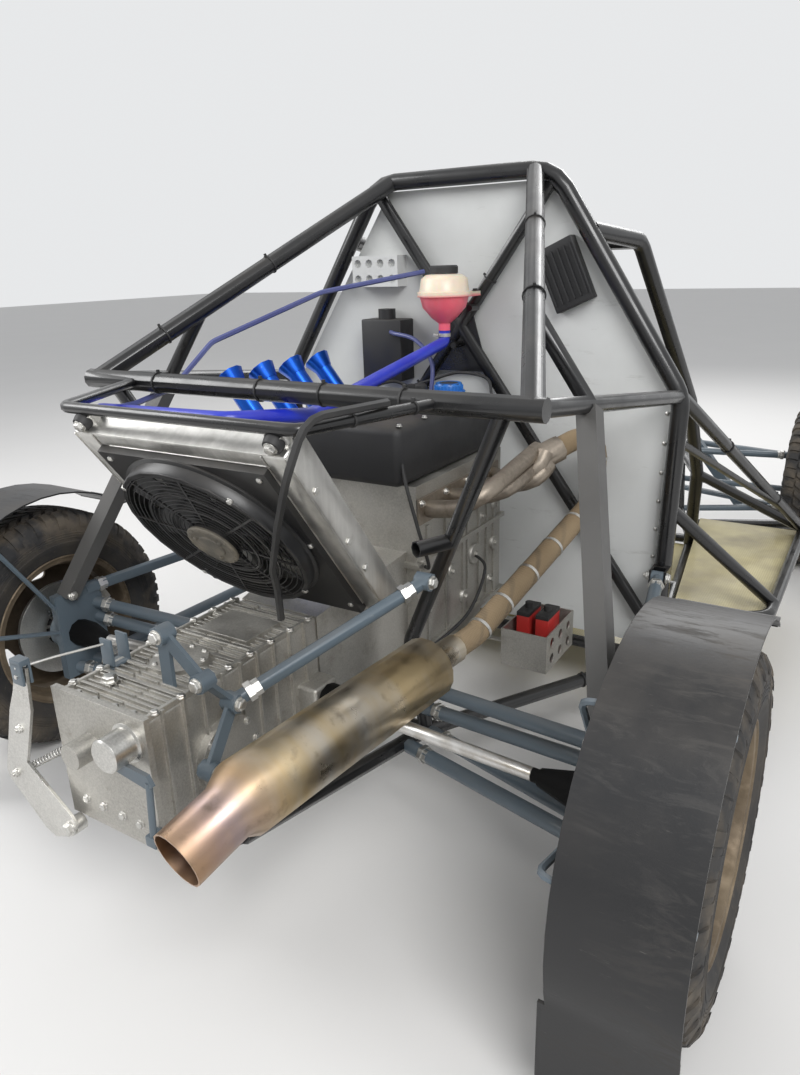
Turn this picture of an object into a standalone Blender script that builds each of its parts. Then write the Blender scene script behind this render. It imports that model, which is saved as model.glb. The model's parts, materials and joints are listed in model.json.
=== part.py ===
"""Single-seat off-road buggy with a rear engine, shown as a bare tubular chassis on its wheels.

Metres. +Z is up, the car faces -Y and +X is its left side. Places are written from the
plane of the main roll hoop, with y growing to the rear, and one empty carries them all.
"""
import math

import bmesh
import bpy
from mathutils import Matrix, Vector

# Overall layout
DATUM_Y = 0.2181            # the hoop's plane in the part's own frame
FRONT_AXLE_Y = -1.55
REAR_AXLE_Y = 0.85
AXLE_Z = 0.325
REAR_HALF_TRACK = 0.855
FRONT_HALF_TRACK = 0.845
GAP = 0.0003                # between touching pieces
OVERRUN = 0.02              # how far a cut runs past what it cuts
SINK = 0.004                # how far welded solids reach into each other

# Frame tubes
MAIN_R = 0.0225
SECOND_R = 0.0175
THIN_R = 0.011
HOOP_BEND = 0.11
TUBE_BEND = 0.06
BEND_STEPS = 3
MAIN_SIDES = 10
SECOND_SIDES = 8
PLATE_T = 0.004

# Main hoop, seen along the car
HOOP_TOP_HALF = 0.262
HOOP_TOP_Z = 1.458
SHOULDER_HALF = 0.615
SHOULDER_Z = 0.913
SHOULDER_SAG = 0.005
FOOT_HALF = 0.600
FOOT_Z = 0.185
BRACE_FOOT_Z = 0.25
GUSSET_HALF = 0.085
GUSSET_DROP = 0.125
TAB_R = 0.018
TAB_LONG = 0.03
TAB_SPREAD = 0.05
TRAIL_HIGH_Z = 0.447
TRAIL_LOW_Z = 0.285
TRAIL_PIN_Y = 0.052
CLEVIS_W = 0.044
CLEVIS_H = 0.036
CLEVIS_EAR = 0.006

# Rear frame
STAY_TOP_HALF = 0.212
CROSS_HALF = 0.550
CROSS_Y = 0.801
CROSS_Z = 1.008
CROSS_OVERHANG = 0.025
MID_BRACE_STAY_SHARE = 0.68
MID_BRACE_SIDE_SHARE = 0.30
V_TOP_HALF = 0.50
V_FOOT_HALF = 0.205
V_FOOT_Y = 0.65
V_FOOT_Z = 0.43
LOW_CROSS_HALF = 0.225
LOW_CROSS_Y = 0.62
LOW_CROSS_Z = 0.185
STUB_SHARE = 0.50
STUB_LONG = 0.075
STUB_WALL = 0.003
HANGER_LEFT_HALF = 0.42
HANGER_RIGHT_HALF = 0.37
HANGER_HALF = 0.285
CRADLE_HALF = 0.165
CRADLE_Y = 1.19
CRADLE_Z = 0.262

# Cockpit cage and floor frame
PILLAR_TOP_SHARE = 0.27
HEADER_HALF = 0.42
HEADER_Y = -0.235
HEADER_Z = 1.285
DASH_HALF = 0.50
DASH_Y = -0.654
DASH_Z = 0.796
PILLAR_FOOT_Y = -0.98
KNEE_HALF = 0.505
KNEE_Y = -0.86
KNEE_Z = 0.50
RAIL_HALF = 0.86
RAIL_REAR_Y = -0.16
RAIL_FRONT_Y = -1.06
RAIL_Z = 0.30
RAIL_NOSE_Y = -1.22
SIDE_BAR_END_Y = -1.00
THIN_BAR_TOP_Z = 0.80
THIN_BAR_END_SHARE = 0.80
SIDE_BRACE_Z = 0.62
SIDE_BRACE_END_Y = -0.26
FLOOR_Z = 0.185
FLOOR_KNEE_HALF = 0.47
FLOOR_KNEE_Y = -1.05
NOSE_HALF = 0.20
NOSE_Y = -1.78
NOSE_LOW_Z = 0.22
NOSE_HIGH_Z = 0.43
FLOOR_CROSS_YS = (-0.54, -1.05)
BOX_POST_Y = -1.37
TOWER_Y = -1.55
PEDAL_XS = (0.095, -0.075, -0.155)
PEDAL_Y = -1.27
PEDAL_LEAN = -0.06
PEDAL_H = 0.16
PEDAL_ARM_W = 0.014
PEDAL_PAD = 0.05

# Undertray and firewall
TRAY_T = 0.004
TRAY_REAR_Y = -0.045
TRAY_FRONT_Y = -1.03
TRAY_SIDE_CLEAR = 0.032
TRAY_SIDE_HALF = 0.872
TRAY_SIDE_REAR_Y = -0.19
FIREWALL_T = 0.003
FIREWALL_FOOT_Z = 0.212
RELAY_X = 0.265
RELAY_Z = 1.225
RELAY_W = 0.155
RELAY_H = 0.085
RELAY_D = 0.05
RELAY_HOLE_R = 0.012
RELAY_COLUMNS = 4
RELAY_ROWS = 2

# Seat
SEAT_W = 0.46
SEAT_WALL = 0.014
SEAT_FRONT_Y = -0.70
SEAT_REAR_Y = -0.235
SEAT_NOSE_Z = 0.335
SEAT_TOP_Y = -0.045
SEAT_TOP_Z = 1.03
SEAT_BOLSTER = 0.13
SEAT_TOP_HALF = 0.15

# Steering
WHEEL_Y = -0.46
WHEEL_Z = 0.71
RACK_Y = -1.42
RACK_Z = 0.33
STEER_RIM_R = 0.15
STEER_TUBE_R = 0.014
STEER_HUB_R = 0.04
STEER_SPOKE_W = 0.022
COLUMN_R = 0.011
BUSH_R = 0.022
BUSH_LONG = 0.03
PIN_CLEAR = 0.0008
BUSH_SHARE = 0.33
COLUMN_END_SHARE = 0.93
RACK_HOUSING_R = 0.024
RACK_HOUSING_HALF = 0.15
RACK_BAR_R = 0.012
RACK_CLEAR = 0.0008
PINION_R = 0.022
PINION_SHARE = 0.88
STEER_ARM = 0.13
STEER_ARM_T = 0.012
STEER_ARM_W = 0.026
KINGPIN_HALF = 0.745
EYE_R = 0.016
EYE_H = 0.016
EYE_CLEAR = 0.0055

# Engine, with its crankshaft along the car
BLOCK_HALF = 0.165
BLOCK_FRONT_Y = 0.085
BLOCK_REAR_Y = 0.545
SUMP_Z = 0.222
HEAD_Z = 0.762
SUMP_HALF = 0.12
SUMP_TOP_Z = 0.34
BELL_HALF = 0.135
BELL_LOW_Z = 0.29
BELL_HIGH_Z = 0.60
RIB_T = 0.012
RIB_PROUD = 0.012
RIB_COUNT = 5
FLANGE_PROUD = 0.010
COVER_HALF = 0.15
COVER_FRONT_Y = 0.10
COVER_REAR_Y = 0.585
COVER_Z = 0.905
COVER_BEVEL = 0.022
FILLER_X = -0.035
FILLER_Y = 0.14
FILLER_R = 0.036
FILLER_H = 0.032
TRUMPET_COUNT = 4
TRUMPET_PITCH = 0.125
TRUMPET_FIRST_Y = 0.125
TRUMPET_R = 0.026
TRUMPET_MOUTH_R = 0.040
TRUMPET_BORE_R = 0.020
TRUMPET_DROP_X = 0.255
TRUMPET_LONG = 0.17
TRUMPET_PORT_Z = 0.70
TRUMPET_TILT_DEG = 42.0
FUEL_RAIL_R = 0.012

# Exhaust
PORT_Z = 0.70
PRIMARY_R = 0.021
PRIMARY_SIDES = 8
PORT_FIRST_Y = 0.155
PORT_PITCH = 0.115
COLLECTOR_X = -0.365
COLLECTOR_Y = 0.175
COLLECTOR_Z = 0.795
COLLECTOR_R = 0.034
PRIMARY_SPREAD = 0.017
WRAP_R = 0.027
WRAP_SIDES = 10
WRAP_BEND = 0.055
LOOP_X = -0.425
LOOP_FRONT_Y = 0.052
LOOP_HIGH_Z = 0.815
LOOP_LOW_Z = 0.655
LOOP_RETURN_Y = 0.12
SLEEVE_X = -0.345
SLEEVE_Y = 0.70
SLEEVE_Z = 0.467
SLEEVE_R = 0.031
SILENCER_FRONT = (-0.335, 0.80, 0.467)
SILENCER_REAR = (-0.285, 1.30, 0.462)
SILENCER_R = 0.065
SILENCER_CONE = 0.03
SILENCER_SIDES = 16
TAIL_END = (-0.268, 1.425, 0.43)
TAIL_R = 0.050
TAIL_WALL = 0.003
TAIL_DEPTH = 0.09

# Gearbox and its shift levers
BOX_HALF = 0.1035
BOX_FRONT_Y = 0.858
BOX_REAR_Y = 1.331
BOX_LOW_Z = 0.308
BOX_HIGH_Z = 0.553
BOX_BEVEL = 0.008
BOX_RIB_T = 0.006
BOX_RIB_PROUD = 0.007
BOX_RIB_COUNT = 9
BOX_COVER_R = 0.075
BOX_COVER_PROUD = 0.016
OUTPUT_Y = 0.897
OUTPUT_Z = 0.390
OUTPUT_R = 0.038
OUTPUT_HALF = 0.150
TOP_COVER_Y = 0.98
TOP_COVER_HALF = 0.065
TOP_COVER_LONG = 0.10
TOP_COVER_H = 0.010
TOP_DISC_Y = 1.14
TOP_DISC_R = 0.055
CAP_X = 0.030
CAP_Y = 1.375
CAP_Z = 0.475
CAP_R = 0.024
LEVER_X = -0.050
LEVER_Y = 1.213
LEVER_TOP_Z = 0.655
LEVER_W = 0.026
LEVER_T = 0.008
CRANK_X = -0.135
CRANK_Z = 0.585
SHIFT_ROD_R = 0.0135
SHIFT_ROD_REAR = (-0.150, 1.165, 0.525)
SHIFT_ROD_FRONT = (-0.350, 0.830, 0.670)
LOW_EYE = (-0.150, 1.235, 0.425)

# Radiator and fan, in the plane of the fan's shroud
RAD_TOP_Y = 1.099
RAD_TOP_Z = 0.963
RAD_W = 0.517
RAD_H = 0.469
RAD_TILT_DEG = 36.3
RAD_CORE_T = 0.055
TANK_W = 0.052
TANK_T = 0.062
TANK_BEVEL = 0.010
SHROUD_T = 0.018
SHROUD_INSET = 0.028
FAN_X = 0.020
FAN_RUN_GAP = 0.007
FAN_R = 0.186
FAN_CLEAR = 0.007
COLLAR_T = 0.009
COLLAR_PROUD = 0.030
GUARD_T = 0.004
GUARD_BAR = 0.0045
GUARD_RINGS = 2
GUARD_SPOKES = 8
GUARD_SEGMENTS = 24
GUARD_HUB_R = 0.052
FAN_HUB_R = 0.048
FAN_HUB_T = 0.018
FAN_BLADES = 8
FAN_BLADE_T = 0.0035
FAN_BLADE_CHORD = 0.055
FAN_BLADE_PITCH_DEG = 24.0
FAN_PIN_R = 0.008
LUG_R = 0.020
LUG_T = 0.022

# Expansion bottle, hoses and boxes of the engine bay
BOTTLE_X = -0.010
BOTTLE_Y = 0.115
BOTTLE_Z = 1.165
BOTTLE_R = 0.070
BOTTLE_LOW_H = 0.075
BOTTLE_NECK_H = 0.018
BOTTLE_H = 0.165
BOTTLE_HEIGHT_SHARES = (0.0, 0.11, 0.20, 0.36, 0.52, 0.53, 0.60, 0.61, 0.80, 0.86, 0.87, 1.0)
BOTTLE_R_SHARES = (0.23, 0.23, 0.50, 0.84, 0.95, 1.05, 1.05, 0.97, 0.90, 0.70, 0.50, 0.48)
HOSE_R = 0.0155
VENT_R = 0.0065
HOSE_RUN = ((-0.04, 0.75, 0.955), (0.03, 0.93, 0.972), (0.415, 0.93, 0.965))
HOSE_TANK_DROP = 0.15
HOSE_TURN = 0.095
VENT_RUN = ((0.058, 0.10, 1.222), (0.24, 0.32, 1.180), (0.35, 0.62, 1.080), (0.380, 0.73, 0.985),
            (0.380, 0.85, 0.9656), (0.380, 0.9150, 0.9656))
BREATHER_R = 0.0075
BREATHER_BEND = 0.05
BREATHER_POINTS = ((-0.338, 0.920, 1.0252), (-0.312, 1.110, 1.0292), (-0.294, 1.143, 0.942), (-0.196, 1.062, 0.824),
                   (-0.126, 1.005, 0.716), (-0.096, 0.962, 0.650), (-0.092, 0.955, 0.5848))
HOSE_SIDES = 6
TRAY_BOX_X = -0.325
TRAY_BOX_Y = 0.175
TRAY_BOX_Z = 0.262
TRAY_BOX_W = 0.13
TRAY_BOX_D = 0.20
TRAY_BOX_H = 0.105
TRAY_BOX_HOLE_R = 0.014
TRAY_BOX_WALL = 0.004
MODULE_W = 0.034
MODULE_D = 0.085
MODULE_H = 0.075
MODULE_TERMINAL_R = 0.010
ECU_X = -0.300
ECU_Z = 1.205
ECU_W = 0.105
ECU_H = 0.165
ECU_T = 0.034
ECU_ROLL_DEG = 24.0
ECU_FINS = 6
ECU_FIN_T = 0.004
ECU_FIN_PROUD = 0.006
CATCH_X = 0.235
CATCH_Y = 0.062
CATCH_Z = 1.005
CATCH_W = 0.135
CATCH_D = 0.075
CATCH_H = 0.175
CATCH_CAP_R = 0.026
CATCH_CAP_H = 0.028

# Rear suspension
UPRIGHT_HALF = 0.737
UPRIGHT_T = 0.024
UPRIGHT_AHEAD = 0.085
UPRIGHT_BEHIND = 0.055
UPRIGHT_TOP_Z = 0.445
UPRIGHT_LOW_Z = 0.205
CARRIER_R = 0.052
CARRIER_END = 0.782
STUB_R = 0.017
STUB_END_BACK = 0.012
ARM_R = 0.0165
TRAIL_R = 0.0165
LINK_SIDES = 8
ARM_IN_ZS = (0.310, 0.250)
ARM_OUT_HIGH_Y = 0.785
ARM_OUT_ZS = (0.388, 0.345)
LOWER_IN_SHARES = (0.0, 0.16)
LOWER_OUT_YS = (0.815, 0.870)
LOWER_OUT_Z = 0.228
TRAIL_OUT_Y = 0.805
TRAIL_OUT_ZS = (0.432, 0.222)
TRAIL_EYE_R = 0.016
SHAFT_R = 0.0135
JOINT_R = 0.036
JOINT_LONG = 0.050
BOOT_LONG = 0.070
STRUT_W = 0.040
STRUT_WALL = 0.003
STRUT_FOOT = (0.727, 0.868, 0.435)
GUARD_IN_HALF = 0.762
GUARD_OUT_HALF = 0.952
MUDGUARD_R = 0.375
MUDGUARD_T = 0.004
MUDGUARD_FROM_DEG = -18.0
MUDGUARD_TO_DEG = 128.0
MUDGUARD_SEGMENTS = 18
STAY_R = 0.006
STAY_HALF = 0.736
STAY_ANGLES_DEG = (18.0, 58.0)
LIP_W = 0.035
FLAP_H = 0.13
LIP_OVERHANG = 0.012

# Front suspension and knuckle
KINGPIN_R = 0.012
EYE_PLATE_H = 0.026
EYE_PLATE_R = 0.020
SLEEVE_OUT_R = 0.024
SLEEVE_GAP = 0.006
SLEEVE_PLAY = 0.0008
FRONT_ARM_R = 0.0135
FRONT_ARM_YS = (-1.395, -1.705)
FRONT_ARM_OUT_ZS = (0.215, 0.440)
TOWER_TOP_HALF = 0.235
TOWER_TOP_Z = 0.600
FRONT_STRUT_ARM_SHARE = 0.60

# Wheels, along each wheel's own axle; plus is outboard
TYRE_R = 0.325
TYRE_HALF_W = 0.1025
TYRE_SEGMENTS = 28
SEAT_R = 0.1905
BEAD_HALF = 0.085
FLANGE_R = 0.2075
FLANGE_T = 0.006
BARREL_T = 0.006
DISH_X = 0.030
DISH_T = 0.009
SLOT_COUNT = 6
SLOT_R = 0.135
SLOT_LONG = 0.066
SLOT_HIGH = 0.030
HUB_R = 0.040
HUB_IN = -0.066
HUB_OUT = 0.050
HUB_PLAY = 0.0008
HUB_SIDES = 12

COLOURS = {
    # name: red, green, blue, roughness, metallic
    "gloss_black": (0.012, 0.012, 0.013, 0.22, 0.0),
    "satin_black": (0.020, 0.020, 0.022, 0.5, 0.0),
    "link_blue": (0.115, 0.145, 0.175, 0.4, 0.1),
    "box_grey": (0.100, 0.100, 0.095, 0.5, 0.1),
    "bare_alloy": (0.62, 0.61, 0.58, 0.42, 1.0),
    "cast_alloy": (0.50, 0.49, 0.46, 0.55, 1.0),
    "sheet_grey": (0.66, 0.67, 0.66, 0.5, 0.1),
    "tray_weave": (0.45, 0.40, 0.20, 0.6, 0.0),
    "steel": (0.36, 0.32, 0.27, 0.38, 1.0),
    "heat_wrap": (0.22, 0.16, 0.09, 0.95, 0.0),
    "anodised_blue": (0.02, 0.10, 0.55, 0.3, 0.6),
    "hose_blue": (0.015, 0.03, 0.50, 0.45, 0.0),
    "bottle_pink": (0.85, 0.45, 0.42, 0.4, 0.0),
    "rim_bronze": (0.30, 0.24, 0.17, 0.45, 0.8),
    "tyre_rubber": (0.022, 0.022, 0.022, 0.85, 0.0),
    "plastic_black": (0.022, 0.022, 0.024, 0.42, 0.0),
    "seat_shell": (0.05, 0.05, 0.055, 0.5, 0.0),
}


def clear_file():
    for thing in list(bpy.data.objects):
        bpy.data.objects.remove(thing, do_unlink=True)


def make_material(name):
    red, green, blue, rough, metal = COLOURS[name]
    material = bpy.data.materials.new(name)
    material.use_nodes = True
    shader = material.node_tree.nodes["Principled BSDF"]
    shader.inputs["Base Color"].default_value = (red, green, blue, 1)
    shader.inputs["Roughness"].default_value = rough
    shader.inputs["Metallic"].default_value = metal
    material.diffuse_color = (red, green, blue, 1)
    return material


def at(side, x, y, z):
    """A point on the left (side 1) or right (side -1) of the car."""
    return Vector((side * x, y, z))


def along(start, end, share):
    return start + (end - start) * share


# Basic closed solids, each a loose object until it is fused into its piece

def loose(bm):
    bmesh.ops.recalc_face_normals(bm, faces=bm.faces)
    mesh = bpy.data.meshes.new("loose")
    bm.to_mesh(mesh)
    bm.free()
    thing = bpy.data.objects.new("loose", mesh)
    bpy.context.scene.collection.objects.link(thing)
    return thing


def rounded_path(points, bend, steps=BEND_STEPS):
    """The points of a path whose inner corners are arcs of radius bend."""
    points = [Vector(point) for point in points]
    path = [points[0]]
    for before, corner, after in zip(points, points[1:], points[2:]):
        back = (before - corner).normalized()
        ahead = (after - corner).normalized()
        half = back.angle(ahead) / 2
        reach = min(bend / math.tan(half), back.length and (before - corner).length / 2,
                    (after - corner).length / 2)
        radius = reach * math.tan(half)
        centre = corner + (back + ahead).normalized() * (radius / math.sin(half))
        first = corner + back * reach - centre
        last = corner + ahead * reach - centre
        turn = first.angle(last)
        axis = first.cross(last).normalized()
        for step in range(steps + 1):
            path.append(centre + Matrix.Rotation(turn * step / steps, 3, axis) @ first)
    path.append(points[-1])
    return path


def tube(points, radius, sides=SECOND_SIDES, bend=TUBE_BEND, steps=BEND_STEPS, hint=(0, 0, 1)):
    """A solid round bar along a path with rounded corners."""
    path = rounded_path(points, bend, steps)
    return swept(path, [radius] * len(path), sides, hint)


def swept(path, radii, sides, hint=(0, 0, 1)):
    """A solid whose round section has one radius at each point of a path."""
    bm = bmesh.new()
    rings = []
    up = None
    for index, (place, radius) in enumerate(zip(path, radii)):
        before = path[max(index - 1, 0)]
        after = path[min(index + 1, len(path) - 1)]
        ahead = (after - before).normalized()
        if up is None:
            up = Vector(hint)
            if abs(up.dot(ahead)) > 0.9:
                up = Vector((1, 0, 0))
        up = (up - ahead * up.dot(ahead)).normalized()
        side = ahead.cross(up)
        ring = []
        for step in range(sides):
            angle = math.tau * (step + 0.5) / sides
            ring.append(bm.verts.new(place + (side * math.cos(angle) + up * math.sin(angle)) * radius))
        rings.append(ring)
    for one, two in zip(rings, rings[1:]):
        for step in range(sides):
            following = (step + 1) % sides
            bm.faces.new((one[step], one[following], two[following], two[step]))
    bm.faces.new(list(reversed(rings[0])))
    bm.faces.new(rings[-1])
    return loose(bm)


def rod(start, end, radius, sides=SECOND_SIDES, end_radius=None):
    """A straight round bar or a taper between two points."""
    start = Vector(start)
    end = Vector(end)
    bm = bmesh.new()
    length = (end - start).length
    turn = (end - start).to_track_quat("Z", "Y").to_matrix().to_4x4()
    move = Matrix.Translation((start + end) / 2) @ turn
    bmesh.ops.create_cone(bm, cap_ends=True, segments=sides, radius1=radius,
                          radius2=radius if end_radius is None else end_radius,
                          depth=length, matrix=move)
    return loose(bm)


def block(low, high, bevel=0.0):
    """An upright box between two corners, its edges bevelled if asked."""
    low = Vector(low)
    high = Vector(high)
    bm = bmesh.new()
    size = high - low
    move = Matrix.Translation((low + high) / 2) @ Matrix.Diagonal((*size, 1))
    bmesh.ops.create_cube(bm, size=1, matrix=move)
    if bevel:
        bmesh.ops.bevel(bm, geom=bm.edges[:], offset=bevel, segments=2, affect="EDGES", profile=0.5)
    return loose(bm)


def beam(start, end, width, height, up=(0, 0, 1)):
    """A straight bar of rectangular section between two points."""
    start = Vector(start)
    end = Vector(end)
    ahead = (end - start).normalized()
    side = ahead.cross(Vector(up)).normalized()
    top = side.cross(ahead)
    turn = Matrix((side, ahead, top)).transposed().to_4x4()
    move = Matrix.Translation((start + end) / 2) @ turn
    bm = bmesh.new()
    bmesh.ops.create_cube(bm, size=1, matrix=move @ Matrix.Diagonal((width, (end - start).length, height, 1)))
    return loose(bm)


def prism(outline, low, high, axis="X"):
    """An outline, of points in the two other directions, pushed out along an axis."""
    bm = bmesh.new()
    ends = []
    for level in (low, high):
        ring = []
        for one, two in outline:
            place = {"X": (level, one, two), "Y": (one, level, two), "Z": (one, two, level)}[axis]
            ring.append(bm.verts.new(place))
        ends.append(ring)
    count = len(outline)
    for step in range(count):
        following = (step + 1) % count
        bm.faces.new((ends[0][step], ends[0][following], ends[1][following], ends[1][step]))
    bm.faces.new(ends[0])
    bm.faces.new(list(reversed(ends[1])))
    return loose(bm)


def turned(profile, segments):
    """A closed profile of (x, radius) points turned about the X axis."""
    bm = bmesh.new()
    rings = []
    for step in range(segments):
        angle = math.tau * (step + 0.5) / segments
        rings.append([bm.verts.new((x, r * math.cos(angle), r * math.sin(angle))) for x, r in profile])
    count = len(profile)
    for step in range(segments):
        one = rings[step]
        two = rings[(step + 1) % segments]
        for point in range(count):
            following = (point + 1) % count
            bm.faces.new((one[point], one[following], two[following], two[point]))
    return loose(bm)


def moved(thing, matrix):
    thing.data.transform(matrix)
    return thing


def arc_outline(centre, radius, from_deg, to_deg, steps):
    points = []
    for step in range(steps + 1):
        angle = math.radians(from_deg + (to_deg - from_deg) * step / steps)
        points.append((centre[0] + radius * math.cos(angle), centre[1] + radius * math.sin(angle)))
    return points


def set_boolean(base, operands, operation, solver):
    group = bpy.data.collections.new("operands")
    bpy.context.scene.collection.children.link(group)
    for operand in operands:
        bpy.context.scene.collection.objects.unlink(operand)
        group.objects.link(operand)
    modifier = base.modifiers.new(operation.lower(), "BOOLEAN")
    modifier.operation = operation
    modifier.operand_type = "COLLECTION"
    modifier.collection = group
    modifier.solver = solver
    return group


def fused_mesh(solids, cuts=(), solver="EXACT"):
    """One mesh from solids that touch, less the cuts."""
    base = solids[0]
    groups = []
    if len(solids) > 1:
        groups.append(set_boolean(base, solids[1:], "UNION", solver))
    if cuts:
        groups.append(set_boolean(base, list(cuts), "DIFFERENCE", solver))
    bpy.context.view_layer.update()
    graph = bpy.context.evaluated_depsgraph_get()
    mesh = bpy.data.meshes.new_from_object(base.evaluated_get(graph), depsgraph=graph)
    for thing in list(solids) + list(cuts):
        bpy.data.objects.remove(thing, do_unlink=True)
    for group in groups:
        bpy.data.collections.remove(group)
    bm = bmesh.new()
    bm.from_mesh(mesh)
    bmesh.ops.remove_doubles(bm, verts=bm.verts, dist=GAP / 300)
    bmesh.ops.triangulate(bm, faces=[face for face in bm.faces if len(face.verts) > 4])
    bm.to_mesh(mesh)
    bm.free()
    return mesh


class Buggy:
    """Collects the pieces under one empty at the main hoop's foot."""

    def __init__(self):
        self.materials = {name: make_material(name) for name in COLOURS}
        self.datum = bpy.data.objects.new("datum", None)
        self.datum.location = (0, DATUM_Y, 0)
        bpy.context.scene.collection.objects.link(self.datum)

    def add(self, name, mesh, material, origin=(0, 0, 0), turn=None):
        """A named piece whose mesh is drawn about its origin."""
        mesh.name = name
        if not mesh.materials:
            mesh.materials.append(self.materials[material])
        mesh.shade_smooth()
        mesh.set_sharp_from_angle(angle=math.radians(35))
        thing = bpy.data.objects.new(name, mesh)
        thing.location = origin
        if turn is not None:
            thing.rotation_euler = turn
        thing.parent = self.datum
        bpy.context.scene.collection.objects.link(thing)
        return thing

    def add_at(self, name, mesh, material, origin):
        """A named piece drawn in the car's frame, whose origin is put on its axis."""
        mesh.transform(Matrix.Translation(-Vector(origin)))
        return self.add(name, mesh, material, origin)


# Frame

def hoop_tube(grow=0.0):
    """The main hoop, or with some growth the cutter that clears it."""
    points = []
    for side in (1, -1):
        foot = at(side, FOOT_HALF, 0, FOOT_Z - SECOND_R)
        shoulder = at(side, SHOULDER_HALF, 0, SHOULDER_Z)
        if grow:
            foot -= (shoulder - foot).normalized() * OVERRUN
        leg = [foot, shoulder, at(side, HOOP_TOP_HALF, 0, HOOP_TOP_Z)]
        points += leg if side > 0 else leg[::-1]
    return tube(points, MAIN_R + grow, MAIN_SIDES, HOOP_BEND, hint=(0, 1, 0))


def foot_tube(grow=0.0):
    half = FOOT_HALF + (MAIN_R + OVERRUN if grow else 0)
    return rod(at(1, half, 0, FOOT_Z), at(-1, half, 0, FOOT_Z), SECOND_R + grow)


def x_brace(grow=0.0):
    ends = [(at(side, HOOP_TOP_HALF, 0, HOOP_TOP_Z - MAIN_R), at(-side, FOOT_HALF, 0, BRACE_FOOT_Z))
            for side in (-1, 1)]
    return [rod(top, foot, SECOND_R + grow) for top, foot in ends]


def clevis(place):
    """Two ears and a pin behind the hoop's leg, where a trailing link is bolted."""
    half = CLEVIS_W / 2
    solids = []
    for side in (-1, 1):
        outer = place.x + side * half
        inner = outer - side * CLEVIS_EAR
        solids.append(block((min(outer, inner), place.y - TRAIL_PIN_Y + MAIN_R - SINK, place.z - CLEVIS_H / 2),
                            (max(outer, inner), place.y + CLEVIS_H / 4, place.z + CLEVIS_H / 2)))
    web = (place.x - half, place.y - TRAIL_PIN_Y, place.z - CLEVIS_H / 2)
    solids.append(block(web, (place.x + half, place.y - TRAIL_PIN_Y + MAIN_R + CLEVIS_EAR,
                              place.z + CLEVIS_H / 2)))
    return solids


def trail_pin(side, high):
    if high:
        return at(side, FOOT_HALF + CLEVIS_EAR, TRAIL_PIN_Y, TRAIL_HIGH_Z)
    return at(side, FOOT_HALF, TRAIL_PIN_Y, TRAIL_LOW_Z)


def make_main_hoop(car):
    solids = [hoop_tube(), foot_tube(), *x_brace()]
    for side in (-1, 1):
        for high in (True, False):
            solids.extend(clevis(trail_pin(side, high)))
    crossing_z = along(at(1, HOOP_TOP_HALF, 0, HOOP_TOP_Z - MAIN_R), at(-1, FOOT_HALF, 0, BRACE_FOOT_Z),
                       HOOP_TOP_HALF / (HOOP_TOP_HALF + FOOT_HALF)).z
    gusset = [(-GUSSET_HALF, crossing_z - GUSSET_DROP), (GUSSET_HALF, crossing_z - GUSSET_DROP),
              (GUSSET_HALF / 3, crossing_z + GUSSET_DROP / 2), (-GUSSET_HALF / 3, crossing_z + GUSSET_DROP / 2)]
    solids.append(prism(gusset, -PLATE_T / 2, PLATE_T / 2, "Y"))
    for rise in (-TAB_SPREAD, TAB_SPREAD):
        tab = Vector((-TAB_SPREAD / 2 - rise / 2, 0, crossing_z + rise))
        solids.append(rod(tab, tab + Vector((0, SECOND_R + TAB_LONG, 0)), TAB_R / 2))
    car.add("main_hoop", fused_mesh(solids), "gloss_black")


def stay_points(side):
    top = at(side, STAY_TOP_HALF, 0, HOOP_TOP_Z)
    rear = at(side, CROSS_HALF, CROSS_Y, CROSS_Z)
    return top + (rear - top).normalized() * MAIN_R / 2, rear


def shoulder_place(side, y=0.0):
    return at(side, SHOULDER_HALF - SHOULDER_SAG, y, SHOULDER_Z)


def side_top_points(side):
    return at(side, CROSS_HALF, CROSS_Y, CROSS_Z), shoulder_place(side, MAIN_R / 2)


def low_rail_points(side):
    return [at(side, FOOT_HALF, 0, FOOT_Z), at(side, LOW_CROSS_HALF, LOW_CROSS_Y, LOW_CROSS_Z)]


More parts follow.
